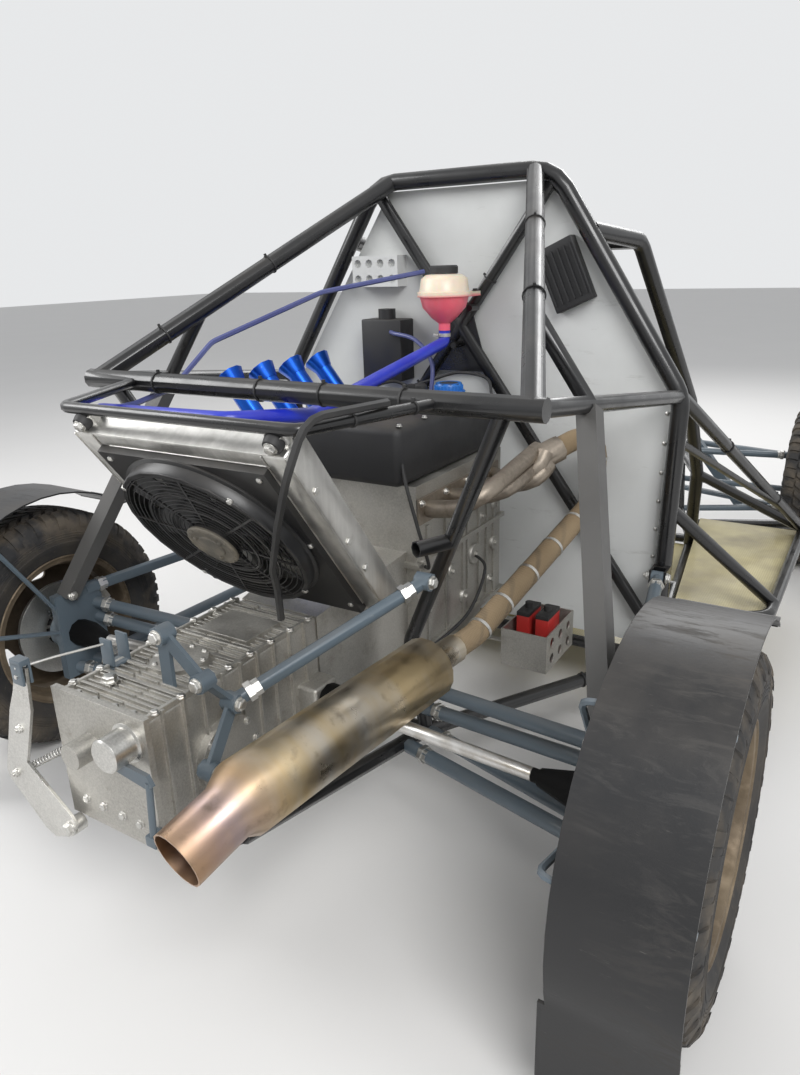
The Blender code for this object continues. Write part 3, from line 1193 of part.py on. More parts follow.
def make_radiator(car):
    half = RAD_W / 2
    turn = (-math.radians(RAD_TILT_DEG), 0, 0)
    seat = (0, RAD_TOP_Y, RAD_TOP_Z)
    proud = (TANK_T - RAD_CORE_T) / 2
    solids = [block((-half + SINK, -RAD_CORE_T, -RAD_H + SINK), (half - SINK, 0, -SINK))]
    for side in (-1, 1):
        edge = side * half
        inner = side * (half - TANK_W)
        solids.append(block((min(edge, inner), -RAD_CORE_T - proud, -RAD_H), (max(edge, inner), proud, 0), TANK_BEVEL / 2))
        lug = Vector((side * (half - TANK_W / 2), -RAD_CORE_T / 2, 0))
        solids.append(rod(lug - Vector((0, 0, SINK)), lug + Vector((0, 0, LUG_T)), LUG_R, MAIN_SIDES))
    solids.append(block((-half + SINK, -RAD_CORE_T - proud, -TANK_W * 0.6), (half - SINK, proud / 2, 0)))
    mesh = fused_mesh(solids)
    car.add("radiator", mesh, "bare_alloy", seat, turn)

    fan = Vector((FAN_X, 0, -RAD_H / 2))
    low = proud + GAP
    plate = block((-half + TANK_W + GAP, low - proud, -RAD_H), (half - TANK_W - GAP, low - proud + SHROUD_T, -TANK_W * 0.6 - GAP))
    outer = FAN_R + FAN_CLEAR + COLLAR_T
    face = low - proud + SHROUD_T + COLLAR_PROUD
    collar = rod(fan + Vector((0, low, 0)), fan + Vector((0, face, 0)), outer, GUARD_SEGMENTS)
    bore = rod(fan - Vector((0, OVERRUN, 0)), fan + Vector((0, face + OVERRUN, 0)), FAN_R + FAN_CLEAR, GUARD_SEGMENTS)
    ring = fused_mesh([plate, collar], [bore])
    shroud = bpy.data.objects.new("loose", ring)
    bpy.context.scene.collection.objects.link(shroud)
    solids = [shroud]
    spin = Matrix.Translation(fan) @ Matrix.Rotation(math.radians(90), 4, "Z")
    for index in range(GUARD_RINGS):
        share = (index + 1) / (GUARD_RINGS + 1)
        radius = GUARD_HUB_R + (FAN_R - GUARD_HUB_R) * share
        profile = [(face - GUARD_T, radius - GUARD_BAR / 2), (face, radius - GUARD_BAR / 2),
                   (face, radius + GUARD_BAR / 2), (face - GUARD_T, radius + GUARD_BAR / 2)]
        solids.append(moved(turned(profile, GUARD_SEGMENTS), spin))
    for index in range(GUARD_SPOKES):
        angle = math.tau * (index + 0.25) / GUARD_SPOKES
        out = Vector((math.cos(angle), 0, math.sin(angle)))
        middle = fan + Vector((0, face - GUARD_T * 0.6, 0))
        solids.append(beam(middle + out * GUARD_HUB_R / 2, middle + out * (outer - COLLAR_T / 2), GUARD_BAR,
                           GUARD_T, up=(0, 1, 0)))
    hub = fan + Vector((0, face - FAN_HUB_T / 2, 0))
    solids.append(rod(hub, hub + Vector((0, FAN_HUB_T, 0)), GUARD_HUB_R, SILENCER_SIDES))
    solids.append(rod(fan + Vector((0, FAN_HUB_T / 2, 0)), hub + Vector((0, SINK, 0)), FAN_PIN_R, MAIN_SIDES))
    car.add("fan_shroud", fused_mesh(solids), "plastic_black", seat, turn)

    middle = face - FAN_HUB_T / 2 - FAN_RUN_GAP - FAN_HUB_T / 2
    solids = [rod((0, -FAN_HUB_T / 2, 0), (0, FAN_HUB_T / 2, 0), FAN_HUB_R, SILENCER_SIDES)]
    for index in range(FAN_BLADES):
        blade = beam((0, 0, FAN_HUB_R - SINK), (0, 0, FAN_R), FAN_BLADE_T, FAN_BLADE_CHORD, up=(1, 0, 0))
        pitch = Matrix.Rotation(math.radians(FAN_BLADE_PITCH_DEG), 4, "Z")
        around = Matrix.Rotation(math.tau * index / FAN_BLADES, 4, "Y")
        solids.append(moved(blade, around @ pitch))
    bore = rod((0, -OVERRUN, 0), (0, OVERRUN, 0), FAN_PIN_R + PIN_CLEAR, MAIN_SIDES)
    origin = rad_matrix() @ (fan + Vector((0, middle, 0)))
    car.add("fan_rotor", fused_mesh(solids, [bore]), "plastic_black", origin, turn)


# Bottle, hoses and boxes

def make_cooling(car):
    middle = Vector((BOTTLE_X, BOTTLE_Y, BOTTLE_Z))
    up = Vector((0, 0, 1))
    neck_low = middle - up * (BOTTLE_LOW_H + BOTTLE_NECK_H)
    path = [neck_low + up * BOTTLE_H * share for share in BOTTLE_HEIGHT_SHARES]
    solids = [swept(path, [BOTTLE_R * share for share in BOTTLE_R_SHARES], HUB_SIDES, (1, 0, 0))]
    for side in (-1, 1):
        inner = middle.x + side * BOTTLE_R * 0.55
        outer = middle.x + side * BOTTLE_R * 0.85
        solids.append(block((min(inner, outer), SECOND_R + GAP * 2, middle.z - SINK * 2),
                            (max(inner, outer), middle.y, middle.z + SINK)))
    car.add("expansion_bottle", fused_mesh(solids), "bottle_pink")

    normal = rad_matrix().to_3x3() @ Vector((0, 1, 0))
    tank = rad_matrix() @ Vector((RAD_W / 2 - TANK_W / 2, -(RAD_CORE_T + TANK_T) / 2, -HOSE_TANK_DROP))
    end = tank - normal * GAP
    turn = tank - normal * HOSE_TURN
    run = [Vector(point) for point in HOSE_RUN]
    below = Vector((run[-1].x, turn.y, turn.z))
    path = [neck_low - up * GAP, neck_low - up * HOSE_R * 2, *run, below, turn, end]
    car.add("coolant_hose", fused_mesh([tube(path, HOSE_R, SECOND_SIDES, bend=HOSE_R * 2, steps=2)]), "hose_blue")
    vent = [Vector(point) for point in VENT_RUN]
    car.add("vent_hose", fused_mesh([tube(vent, VENT_R, HOSE_SIDES, bend=TUBE_BEND)]), "hose_blue")


def make_breather(car):
    points = [Vector(point) for point in BREATHER_POINTS]
    car.add("breather_hose", fused_mesh([tube(points, BREATHER_R, HOSE_SIDES, bend=BREATHER_BEND)]), "satin_black")


def make_boxes(car):
    low = Vector((TRAY_BOX_X - TRAY_BOX_W / 2, TRAY_BOX_Y - TRAY_BOX_D / 2, TRAY_BOX_Z - TRAY_BOX_H / 2))
    high = Vector((TRAY_BOX_X + TRAY_BOX_W / 2, TRAY_BOX_Y + TRAY_BOX_D / 2, TRAY_BOX_Z + TRAY_BOX_H / 2))
    wall = Vector((TRAY_BOX_WALL, TRAY_BOX_WALL, TRAY_BOX_WALL))
    solids = [block(low, high)]
    for index in (-1, 1):
        centre = Vector((TRAY_BOX_X + index * MODULE_W * 0.8, TRAY_BOX_Y, low.z + TRAY_BOX_WALL))
        solids.append(block(centre - Vector((MODULE_W / 2, MODULE_D / 2, TRAY_BOX_WALL / 2)),
                            centre + Vector((MODULE_W / 2, MODULE_D / 2, TRAY_BOX_H + MODULE_H / 3))))
        post = centre + Vector((0, 0, TRAY_BOX_H + MODULE_H / 3 - SINK))
        solids.append(rod(post, post + Vector((0, 0, MODULE_TERMINAL_R * 2)), MODULE_TERMINAL_R))
    tray = solids.pop(0)
    room = block(low + wall, high - wall + Vector((0, 0, OVERRUN)))
    cuts = [room]
    for level in (-1, 1):
        for index in (-1, 0, 1):
            y = TRAY_BOX_Y + index * TRAY_BOX_D * 0.3
            z = TRAY_BOX_Z + level * TRAY_BOX_H * 0.22
            cuts.append(rod((low.x - OVERRUN, y, z), (low.x + OVERRUN, y, z), TRAY_BOX_HOLE_R))
    shell = bpy.data.objects.new("loose", fused_mesh([tray], cuts))
    bpy.context.scene.collection.objects.link(shell)
    for index in (-1, 1):
        y = TRAY_BOX_Y + index * TRAY_BOX_D * 0.35
        solids.append(block((high.x - TRAY_BOX_WALL, y - TRAY_BOX_WALL * 2, TRAY_BOX_Z),
                            (-SUMP_HALF - GAP, y + TRAY_BOX_WALL * 2, TRAY_BOX_Z + TRAY_BOX_WALL)))
    car.add("battery_tray", fused_mesh([shell] + solids), "cast_alloy")

    back = -MAIN_R
    size = Vector((ECU_W / 2, 0, ECU_H / 2))
    solids = [block((-size.x, 0, -size.z), (size.x, ECU_T, size.z), ECU_FIN_T / 2)]
    for index in range(ECU_FINS):
        x = ECU_W * ((index + 0.5) / ECU_FINS - 0.5)
        solids.append(block((x - ECU_FIN_T / 2, ECU_T - ECU_FIN_T / 2, -size.z * 0.8),
                            (x + ECU_FIN_T / 2, ECU_T + ECU_FIN_PROUD, size.z * 0.8)))
    car.add("ecu", fused_mesh(solids), "satin_black", (ECU_X, back + GAP, ECU_Z), (0, math.radians(ECU_ROLL_DEG), 0))

    low = Vector((CATCH_X - CATCH_W / 2, back, CATCH_Z - CATCH_H / 2))
    high = Vector((CATCH_X + CATCH_W / 2, back + CATCH_D, CATCH_Z + CATCH_H / 2))
    cap = Vector((CATCH_X, (low.y + high.y) / 2, high.z))
    solids = [block(low, high, SINK),
              rod(cap - Vector((0, 0, SINK)), cap + Vector((0, 0, CATCH_CAP_H)), CATCH_CAP_R, MAIN_SIDES)]
    car.add("catch_tank", fused_mesh(solids), "satin_black")


# Rear suspension and mudguards

def lower_place(side, share):
    low_corner = at(side, LOW_CROSS_HALF, LOW_CROSS_Y, LOW_CROSS_Z)
    return along(low_corner, at(side, CRADLE_HALF, CRADLE_Y, CRADLE_Z), share)


def v_place(side, z):
    foot = at(side, V_FOOT_HALF, V_FOOT_Y, V_FOOT_Z)
    low_corner = at(side, LOW_CROSS_HALF, LOW_CROSS_Y, LOW_CROSS_Z)
    return along(low_corner, foot, (z - LOW_CROSS_Z) / (V_FOOT_Z - LOW_CROSS_Z))


def v_leg(side, grow=0.0):
    return tube([at(side, V_TOP_HALF, CROSS_Y, CROSS_Z), at(side, V_FOOT_HALF, V_FOOT_Y, V_FOOT_Z),
                 at(side, LOW_CROSS_HALF, LOW_CROSS_Y, LOW_CROSS_Z)], SECOND_R + grow)


def upright_block(side, grow=0.0):
    inner = side * (UPRIGHT_HALF - UPRIGHT_T / 2 - grow)
    outer = side * (UPRIGHT_HALF + UPRIGHT_T / 2 + grow)
    return block((min(inner, outer), REAR_AXLE_Y - UPRIGHT_AHEAD - grow, UPRIGHT_LOW_Z - grow),
                 (max(inner, outer), REAR_AXLE_Y + UPRIGHT_BEHIND + grow, UPRIGHT_TOP_Z + grow))


def make_rear_corner(car, side, tag):
    axle = at(side, UPRIGHT_HALF, REAR_AXLE_Y, AXLE_Z)
    outward = Vector((side, 0, 0))
    hub_end = at(side, REAR_HALF_TRACK + HUB_OUT - STUB_END_BACK, REAR_AXLE_Y, AXLE_Z)
    solids = [upright_block(side), rod(axle, at(side, CARRIER_END, REAR_AXLE_Y, AXLE_Z), CARRIER_R, SILENCER_SIDES),
              rod(axle, hub_end, STUB_R, MAIN_SIDES)]
    for in_z, out_z in zip(ARM_IN_ZS, ARM_OUT_ZS):
        solids.append(rod(v_place(side, in_z), at(side, UPRIGHT_HALF, ARM_OUT_HIGH_Y, out_z), ARM_R, LINK_SIDES))
    for share, out_y in zip(LOWER_IN_SHARES, LOWER_OUT_YS):
        start = lower_place(side, share)
        end = at(side, UPRIGHT_HALF, out_y, LOWER_OUT_Z)
        solids.append(rod(start + (end - start).normalized() * ARM_R, end, ARM_R, LINK_SIDES))
    half = outward * (CLEVIS_W / 2 - CLEVIS_EAR - GAP)
    for high, out_z in zip((True, False), TRAIL_OUT_ZS):
        pin = trail_pin(side, high)
        solids.append(rod(pin - half, pin + half, TRAIL_EYE_R, MAIN_SIDES))
        end = at(side, UPRIGHT_HALF, TRAIL_OUT_Y, out_z)
        reach = (end - pin).normalized() * TRAIL_EYE_R / 2
        solids.append(rod(pin + reach, end, TRAIL_EYE_R - CLEVIS_EAR / 2, LINK_SIDES))
        solids.append(rod(pin + reach * 6, end, TRAIL_R, LINK_SIDES))
    facet = math.radians(MUDGUARD_TO_DEG - MUDGUARD_FROM_DEG) / MUDGUARD_SEGMENTS / 2
    for angle in STAY_ANGLES_DEG:
        out = Vector((0, math.cos(math.radians(angle)), math.sin(math.radians(angle))))
        reach = MUDGUARD_R * math.cos(facet) - STAY_R * math.cos(math.pi / HOSE_SIDES) - GAP
        root = at(side, STAY_HALF, REAR_AXLE_Y, AXLE_Z)
        solids.append(tube([root, root + out * reach, root + out * reach + outward * (GUARD_OUT_HALF - STAY_HALF)],
                           STAY_R, HOSE_SIDES, bend=STAY_R * 4))
    cuts = [v_leg(side, GAP), rod(*low_rail_points(side), SECOND_R + GAP),
            rod(lower_place(side, 0), lower_place(side, 1), SECOND_R + GAP),
            rod(lower_place(1, 0), lower_place(-1, 0), SECOND_R + GAP)]
    car.add("rear_suspension_" + tag, fused_mesh(solids, cuts), "link_blue")

    start = at(side, OUTPUT_HALF + GAP, OUTPUT_Y, OUTPUT_Z)
    end = at(side, UPRIGHT_HALF - UPRIGHT_T / 2 - GAP, REAR_AXLE_Y, AXLE_Z)
    inner = start + outward * JOINT_LONG
    outer = end - outward * JOINT_LONG
    ahead = (outer - inner).normalized()
    path = [start, inner, inner + ahead * BOOT_LONG, inner + ahead * (BOOT_LONG + SINK),
            outer - ahead * (BOOT_LONG + SINK), outer - ahead * BOOT_LONG, outer, end]
    radii = [JOINT_R, JOINT_R, SHAFT_R + SINK, SHAFT_R, SHAFT_R, SHAFT_R + SINK, JOINT_R, JOINT_R]
    car.add("half_shaft_" + tag, fused_mesh([swept(path, radii, MAIN_SIDES)]), "satin_black")

    corner, shoulder = side_top_points(side)
    top = along(corner, shoulder, MID_BRACE_SIDE_SHARE)
    foot = at(side, *STRUT_FOOT)
    ahead = (foot - top).normalized()
    solids = [beam(top + ahead * SECOND_R / 2, foot, STRUT_W, STRUT_W, up=(0, 1, 0))]
    cuts = [rod(corner, shoulder, SECOND_R + GAP), upright_block(side, GAP)]
    car.add("rear_strut_" + tag, fused_mesh(solids, cuts), "box_grey")


def make_mudguard(car, side, tag):
    centre = (REAR_AXLE_Y, AXLE_Z)
    inner = side * GUARD_IN_HALF
    outer = side * GUARD_OUT_HALF
    arc = arc_outline(centre, MUDGUARD_R, MUDGUARD_FROM_DEG, MUDGUARD_TO_DEG, MUDGUARD_SEGMENTS)
    top = arc_outline(centre, MUDGUARD_R + MUDGUARD_T, MUDGUARD_FROM_DEG, MUDGUARD_TO_DEG, MUDGUARD_SEGMENTS)
    solids = [prism(arc + top[::-1], min(inner, outer), max(inner, outer), "X")]
    front_y, front_z = top[-1]
    solids.append(block((min(inner, outer) + SINK, front_y - LIP_W, front_z - MUDGUARD_T),
                        (max(inner, outer) - SINK, front_y + SINK, front_z)))
    rear_y, rear_z = arc[0]
    overhang = inner - side * LIP_OVERHANG
    solids.append(block((min(overhang, outer), rear_y + MUDGUARD_T / 2, rear_z - FLAP_H),
                        (max(overhang, outer), rear_y + MUDGUARD_T * 2, rear_z + LIP_W / 2)))
    car.add("rear_mudguard_" + tag, fused_mesh(solids), "plastic_black")


# Front suspension and knuckles

def make_front_corner(car, side, tag):
    pin = at(side, KINGPIN_HALF, FRONT_AXLE_Y, 0)
    low_z, high_z = FRONT_ARM_OUT_ZS
    half = Vector((0, 0, EYE_PLATE_H / 2))
    post = [pin + Vector((0, 0, z)) for z in FRONT_ARM_OUT_ZS]
    solids = [rod(post[0] - half, post[1] + half, KINGPIN_R, MAIN_SIDES)]
    for eye in post:
        solids.append(rod(eye - half, eye + half, EYE_PLATE_R, MAIN_SIDES))
    inner_low = [floor_rail_place(side, y) for y in FRONT_ARM_YS]
    inner_high = [nose_rail_place(side, y) for y in FRONT_ARM_YS]
    for eye, roots in zip(post, (inner_low, inner_high)):
        for root in roots:
            solids.append(rod(root, eye, FRONT_ARM_R, LINK_SIDES))
    rungs = [along(root, post[0], FRONT_STRUT_ARM_SHARE) for root in inner_low]
    solids.append(beam(*rungs, STRUT_W, FRONT_ARM_R))
    foot = (rungs[0] + rungs[1]) / 2
    top = tower_top(side) + Vector((side * FRONT_ARM_R, 0, 0))
    reach = (foot - top).normalized()
    solids.append(beam(top + reach * FRONT_ARM_R, foot, STRUT_W, STRUT_W, up=(0, 1, 0)))
    cuts = [floor_rail(side, GAP), rod(knee_place(side), nose_rail_place(side, NOSE_Y), SECOND_R + GAP),
            rod(tower_top(side), tower_top(-side), FRONT_ARM_R + GAP),
            rod(nose_rail_place(side, TOWER_Y), tower_top(side), FRONT_ARM_R + GAP)]
    car.add("front_suspension_" + tag, fused_mesh(solids, cuts), "link_blue")

    clear = Vector((0, 0, EYE_PLATE_H / 2 + SLEEVE_GAP))
    axle = at(side, KINGPIN_HALF, FRONT_AXLE_Y, AXLE_Z)
    hub_end = at(side, FRONT_HALF_TRACK + HUB_OUT - STUB_END_BACK, FRONT_AXLE_Y, AXLE_Z)
    arm_z = RACK_Z + RACK_BAR_R + EYE_CLEAR + STEER_ARM_T / 2
    arm_root = at(side, KINGPIN_HALF, FRONT_AXLE_Y, arm_z)
    arm_end = arm_root + Vector((0, STEER_ARM, 0))
    flat = Vector((0, 0, STEER_ARM_T / 2))
    solids = [rod(post[0] + clear, post[1] - clear, SLEEVE_OUT_R, MAIN_SIDES), rod(axle, hub_end, STUB_R, MAIN_SIDES),
              beam(arm_root, arm_end, STEER_ARM_W, STEER_ARM_T), rod(arm_end - flat, arm_end + flat, EYE_R, MAIN_SIDES)]
    cuts = [rod(post[0], post[1], KINGPIN_R + SLEEVE_PLAY, MAIN_SIDES)]
    car.add_at("front_knuckle_" + tag, fused_mesh(solids, cuts), "link_blue", axle)


# Wheels

def tyre_mesh():
    seat = SEAT_R + GAP
    tread = TYRE_R / math.cos(math.pi / TYRE_SEGMENTS)
    half = [(BEAD_HALF, seat), (BEAD_HALF, FLANGE_R + GAP * 3), (TYRE_HALF_W, tread * 0.78),
            (TYRE_HALF_W * 0.965, tread * 0.90), (TYRE_HALF_W * 0.86, tread * 0.975), (TYRE_HALF_W * 0.55, tread)]
    profile = half + [(-x, r) for x, r in reversed(half)]
    return fused_mesh([turned(profile, TYRE_SEGMENTS)])


def rim_mesh():
    edge = BEAD_HALF + GAP
    lip = edge + FLANGE_T
    barrel = SEAT_R - BARREL_T
    dish = DISH_X + DISH_T
    profile = [(-lip, FLANGE_R), (-edge, FLANGE_R), (-edge, SEAT_R), (edge, SEAT_R), (edge, FLANGE_R),
               (lip, FLANGE_R), (lip, barrel), (dish, barrel), (dish, HUB_R), (DISH_X, HUB_R), (DISH_X, barrel),
               (-lip, barrel)]
    wheel = turned(profile, TYRE_SEGMENTS)
    solids = [wheel, rod((HUB_IN, 0, 0), (HUB_OUT, 0, 0), HUB_R + SINK, HUB_SIDES)]
    cuts = [rod((HUB_IN - OVERRUN, 0, 0), (HUB_OUT - STUB_END_BACK / 2, 0, 0), STUB_R + HUB_PLAY, HUB_SIDES)]
    for index in range(SLOT_COUNT):
        turn = Matrix.Rotation(math.tau * index / SLOT_COUNT, 4, "X")
        slot = block((DISH_X - OVERRUN, -SLOT_LONG / 2, SLOT_R - SLOT_HIGH / 2),
                     (dish + OVERRUN, SLOT_LONG / 2, SLOT_R + SLOT_HIGH / 2))
        cuts.append(moved(slot, turn))
    return fused_mesh(solids, cuts)


def make_wheels(car):
    tyre = tyre_mesh()
    rim = rim_mesh()
    for tag, side, half_track, y in (("fl", 1, FRONT_HALF_TRACK, FRONT_AXLE_Y), ("fr", -1, FRONT_HALF_TRACK, FRONT_AXLE_Y),
                                     ("rl", 1, REAR_HALF_TRACK, REAR_AXLE_Y), ("rr", -1, REAR_HALF_TRACK, REAR_AXLE_Y)):
        place = at(side, half_track, y, AXLE_Z)
        turn = (0, 0, 0 if side > 0 else math.pi)
        car.add("tyre_" + tag, tyre, "tyre_rubber", place, turn)
        car.add("rim_" + tag, rim, "rim_bronze", place, turn)


def main():
    clear_file()
    car = Buggy()
    make_main_hoop(car)
    make_rear_frame(car)
    make_cockpit_cage(car)
    make_floor_frame(car)
    make_undertray(car)
    make_firewall(car)
    make_seat(car)
    make_steering(car)
    make_engine(car)
    make_intake(car)
    make_exhaust(car)
    make_silencer(car)
    make_gearbox(car)
    make_linkage(car)
    make_radiator(car)
    make_cooling(car)
    make_breather(car)
    make_boxes(car)
    for side, tag in ((1, "l"), (-1, "r")):
        make_rear_corner(car, side, tag)
        make_mudguard(car, side, tag)
        make_front_corner(car, side, tag)
    make_wheels(car)


main()
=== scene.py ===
import json
import math

import bmesh
import bpy
from mathutils import Matrix, Quaternion, Vector


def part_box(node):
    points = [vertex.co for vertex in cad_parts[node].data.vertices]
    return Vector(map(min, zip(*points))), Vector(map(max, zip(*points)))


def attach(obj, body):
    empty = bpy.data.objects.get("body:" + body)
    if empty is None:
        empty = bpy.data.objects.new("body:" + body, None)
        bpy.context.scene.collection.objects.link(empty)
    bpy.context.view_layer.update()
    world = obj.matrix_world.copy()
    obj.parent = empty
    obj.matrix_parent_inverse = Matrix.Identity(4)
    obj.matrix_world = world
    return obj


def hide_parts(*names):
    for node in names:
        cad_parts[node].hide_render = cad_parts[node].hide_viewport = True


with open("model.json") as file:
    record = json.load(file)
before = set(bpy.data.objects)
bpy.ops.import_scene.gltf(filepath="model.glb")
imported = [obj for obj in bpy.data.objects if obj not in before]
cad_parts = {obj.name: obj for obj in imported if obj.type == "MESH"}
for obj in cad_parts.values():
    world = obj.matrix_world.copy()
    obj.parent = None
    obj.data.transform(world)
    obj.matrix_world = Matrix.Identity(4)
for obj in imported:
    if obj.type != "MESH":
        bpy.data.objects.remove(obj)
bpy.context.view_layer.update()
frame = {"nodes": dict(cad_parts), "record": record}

# Looks of an off-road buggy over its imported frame: finishes, tyres, rims, fastenings and small trim.
# Every place is in metres in the frame's own axes: +Z up, the car faces -Y, +X is its left side.

# Camera and light
EYE = (-1.05825, 2.25907, 1.247462)
EYE_TURN = (-0.213449, -0.168867, 0.554398, 0.786490)
LENS_MM = 26.5
FLOOR_HALF = 30.0
FLOOR_COLOUR = (0.74, 0.73, 0.715)
BACKDROP_COLOUR = (0.80, 0.81, 0.82)
WORLD_STRENGTH = 0.55
LAMPS = (
    # place, aim, width, watts
    ((-3.2, 3.6, 4.2), (0.0, 0.6, 0.6), 2.6, 210),
    ((3.6, 2.6, 3.4), (0.0, 0.4, 0.6), 2.4, 120),
    ((0.5, -4.5, 4.0), (0.0, -0.4, 0.5), 3.0, 130),
)

# Driving sizes, read from the frame
WHEELS = {tag: sum(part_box("tyre_" + tag), Vector()) / 2 for tag in ("fl", "fr", "rl", "rr")}
TYRE_LOW, TYRE_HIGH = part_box("tyre_rl")
TYRE_R = WHEELS["rl"].z - TYRE_LOW.z
TYRE_HALF = (TYRE_HIGH.x - TYRE_LOW.x) / 2
RIM_HALF = (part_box("rim_rl")[1].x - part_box("rim_rl")[0].x) / 2

# Shared values: how far added pieces sink in, the edges that stay sharp, and where the half shafts are bare
SINK = 0.001
NODE_SHARP_DEG = 50.0
PIECE_SHARP_DEG = 38.0
RIM_SHARP_DEG = 40.0
TYRE_SHARP_DEG = 32.0
SHAFT_BARE = (0.290, 0.590)
STAIN_BROWN = (0.20, 0.17, 0.13)

# Tyre
TYRE_STEPS = 112
PITCHES = 56
TREAD_DEPTH = 0.0085
MIDDLE_LUG = ((-0.017, 0.0002), (0.0, 0.0), (0.017, 0.0002))
INNER_LUG = ((0.0225, 0.0003), (0.0365, 0.0007), (0.0495, 0.0014))
OUTER_LUG = (
    # distance from the middle, drop below the crown, share of a long lug's extra reach
    (0.0560, 0.0018, 0), (0.0730, 0.0042, 0), (0.0880, 0.0105, 0), (0.0975, 0.0260, 1), (0.1005, 0.0330, 1),
)
LONG_LUG_REACH = 0.012
SIDE_RINGS = (0.2455, 0.2575, 0.2635, 0.2695)
RING_PROUD = 0.0007

# Rim
RIM_R = 0.2075
RIM_STEPS = 84
WINDOW_COUNT = 6
WINDOW_R = 0.135
WINDOW_LONG = 0.066
WINDOW_HIGH = 0.030
HUB_R = 0.040
NUT_COUNT = 5
NUT_CIRCLE_R = 0.054

# Radiator, in its own tilted frame: +Y out of the fan's side, +Z up its face
RADIATOR_TURN = Matrix.Translation((0, 1.3171, 0.963)) @ Matrix.Rotation(math.radians(-36.3), 4, "X")
RADIATOR_HALF = 0.2585
RADIATOR_H = 0.469
TANK_W = 0.052
TOP_BAND_H = 0.0312
SHROUD_Y = 0.0183
FAN_X = 0.020
FAN_Z = -0.2345
FAN_R = 0.193
COLLAR_Y = 0.0483
GUARD_HUB_R = 0.052
GUARD_RINGS = 13
GUARD_WIRE = 0.0013

# Hub and brake, about the wheel's centre: profiles are (distance out along the axle, radius)
HUB_PROFILE = ((-0.066, 0.0), (-0.066, 0.038), (0.012, 0.040), (0.016, 0.062), (0.0295, 0.064),
               (0.0295, 0.0395), (0.046, 0.0385), (0.050, 0.034), (0.051, 0.0))
DISC_PROFILE = ((-0.056, 0.050), (-0.056, 0.128), (-0.046, 0.128), (-0.046, 0.050))
AXLE_NUT_PROFILE = ((0, 0.018), (0.002, 0.018), (0.002, 0.0))
AXLE_NUT_X = 0.050
NUT_X = 0.037
NUT_SIZE = 0.013
VALVE_FOOT = (0.0345, 0.030, 0.165)
VALVE_RUN = (0.030, 0, 0.004)
VALVE_R = 0.0038
DISC_PIN_COUNT = 10
DISC_PIN_X = -0.052
DISC_PIN_ENDS = (0.034, 0.056)
DISC_PIN_R = 0.0042
CALIPER_TILT_DEG = {"r": 62, "f": -118}
CALIPER_BLOCKS = (
    # distance in, distance in of the other face, half width, inner radius, outer radius, bevel
    (0.090, 0.060, 0.045, 0.085, 0.134, 0.006),
    (0.042, 0.024, 0.040, 0.090, 0.134, 0.005),
    (0.090, 0.024, 0.030, 0.131, 0.148, 0.005),
    (0.108, 0.086, 0.036, 0.030, 0.112, 0.003),
)

# Links of the left side: chassis end, wheel end, radius
LINKS = (
    ((0.2148, 0.8534, 0.310), (0.737, 1.0031, 0.388), 0.0165),
    ((0.2197, 0.8461, 0.250), (0.737, 1.0031, 0.345), 0.0165),
    ((0.2404, 0.8440, 0.1863), (0.737, 1.0331, 0.228), 0.0165),
    ((0.2312, 0.9341, 0.1982), (0.737, 1.0881, 0.228), 0.0165),
    ((0.6074, 0.2780, 0.4468), (0.737, 1.0231, 0.432), 0.0165),
    ((0.6014, 0.2779, 0.2843), (0.737, 1.0231, 0.222), 0.0165),
    ((0.3424, -1.1769, 0.2015), (0.745, -1.3319, 0.215), 0.0135),
    ((0.2277, -1.4869, 0.2164), (0.745, -1.3319, 0.215), 0.0135),
    ((0.3276, -1.1769, 0.4593), (0.745, -1.3319, 0.440), 0.0135),
    ((0.2249, -1.4869, 0.4357), (0.745, -1.3319, 0.440), 0.0135),
)
LINK_NUT_FROM_CHASSIS = 0.060
LINK_NUT_FROM_WHEEL = 0.048
LINK_NUT_LONG = 0.012
LINK_NUT_PROUD = 0.0045
LINK_SHANK_PROUD = 0.0015
CLEVIS_PLACES = ((0.606, 0.447), (0.600, 0.285))
CLEVIS_Y = 0.2701
CLEVIS_HALF = 0.0222
UPRIGHT_BOLTS = ((1.0031, 0.388), (1.0031, 0.345), (1.0331, 0.228), (1.0881, 0.228), (1.0231, 0.432))
UPRIGHT_BOLT_X = 0.7492
UPRIGHT_BOLT_BACK = 0.012
STRUT_BOLT = (0.703, 1.0861, 0.443)

# Radiator and fan trim, in the radiator's own frame
SHROUD_RIVETS = ((-0.185, -0.050), (0.0, -0.046), (0.185, -0.050), (-0.195, -0.235), (-0.19, -0.44),
                 (0.02, -0.452), (0.19, -0.44))
SHROUD_RIVET_R = 0.0062
COLLAR_BOLT_COUNT = 4
COLLAR_BOLT_FROM_DEG = 42
COLLAR_BOLT_CIRCLE_R = 0.1985
MOUNT_X = 0.2325
MOUNT_Z = 0.012
MOUNT_PROFILE = ((0, 0.0), (0, 0.017), (0.010, 0.0185), (0.032, 0.0185), (0.042, 0.016), (0.042, 0.0))
TANK_BOLT_X = 0.2565
TANK_BOLTS_Z = (-0.10, -0.245, -0.33)
SEAM_STEPS = 24
COLLAR_PROFILE = ((0, 0.2105), (0.004, 0.2105), (0.007, 0.2035), (0.026, 0.2025), (0.030, 0.1995),
                  (0.030, 0.194), (0.0, 0.194))
MOTOR_PROFILE = ((0.0, 0.0), (0.0, 0.0555), (0.004, 0.0565), (0.0065, 0.0545), (0.0075, 0.046),
                 (0.006, 0.044), (0.006, 0.030), (0.0085, 0.028), (0.0085, 0.0))
MOTOR_STUD_COUNT = 16
MOTOR_STUD_CIRCLE_R = 0.0505
MOTOR_BOLTS_DEG = (30, 150, 270)
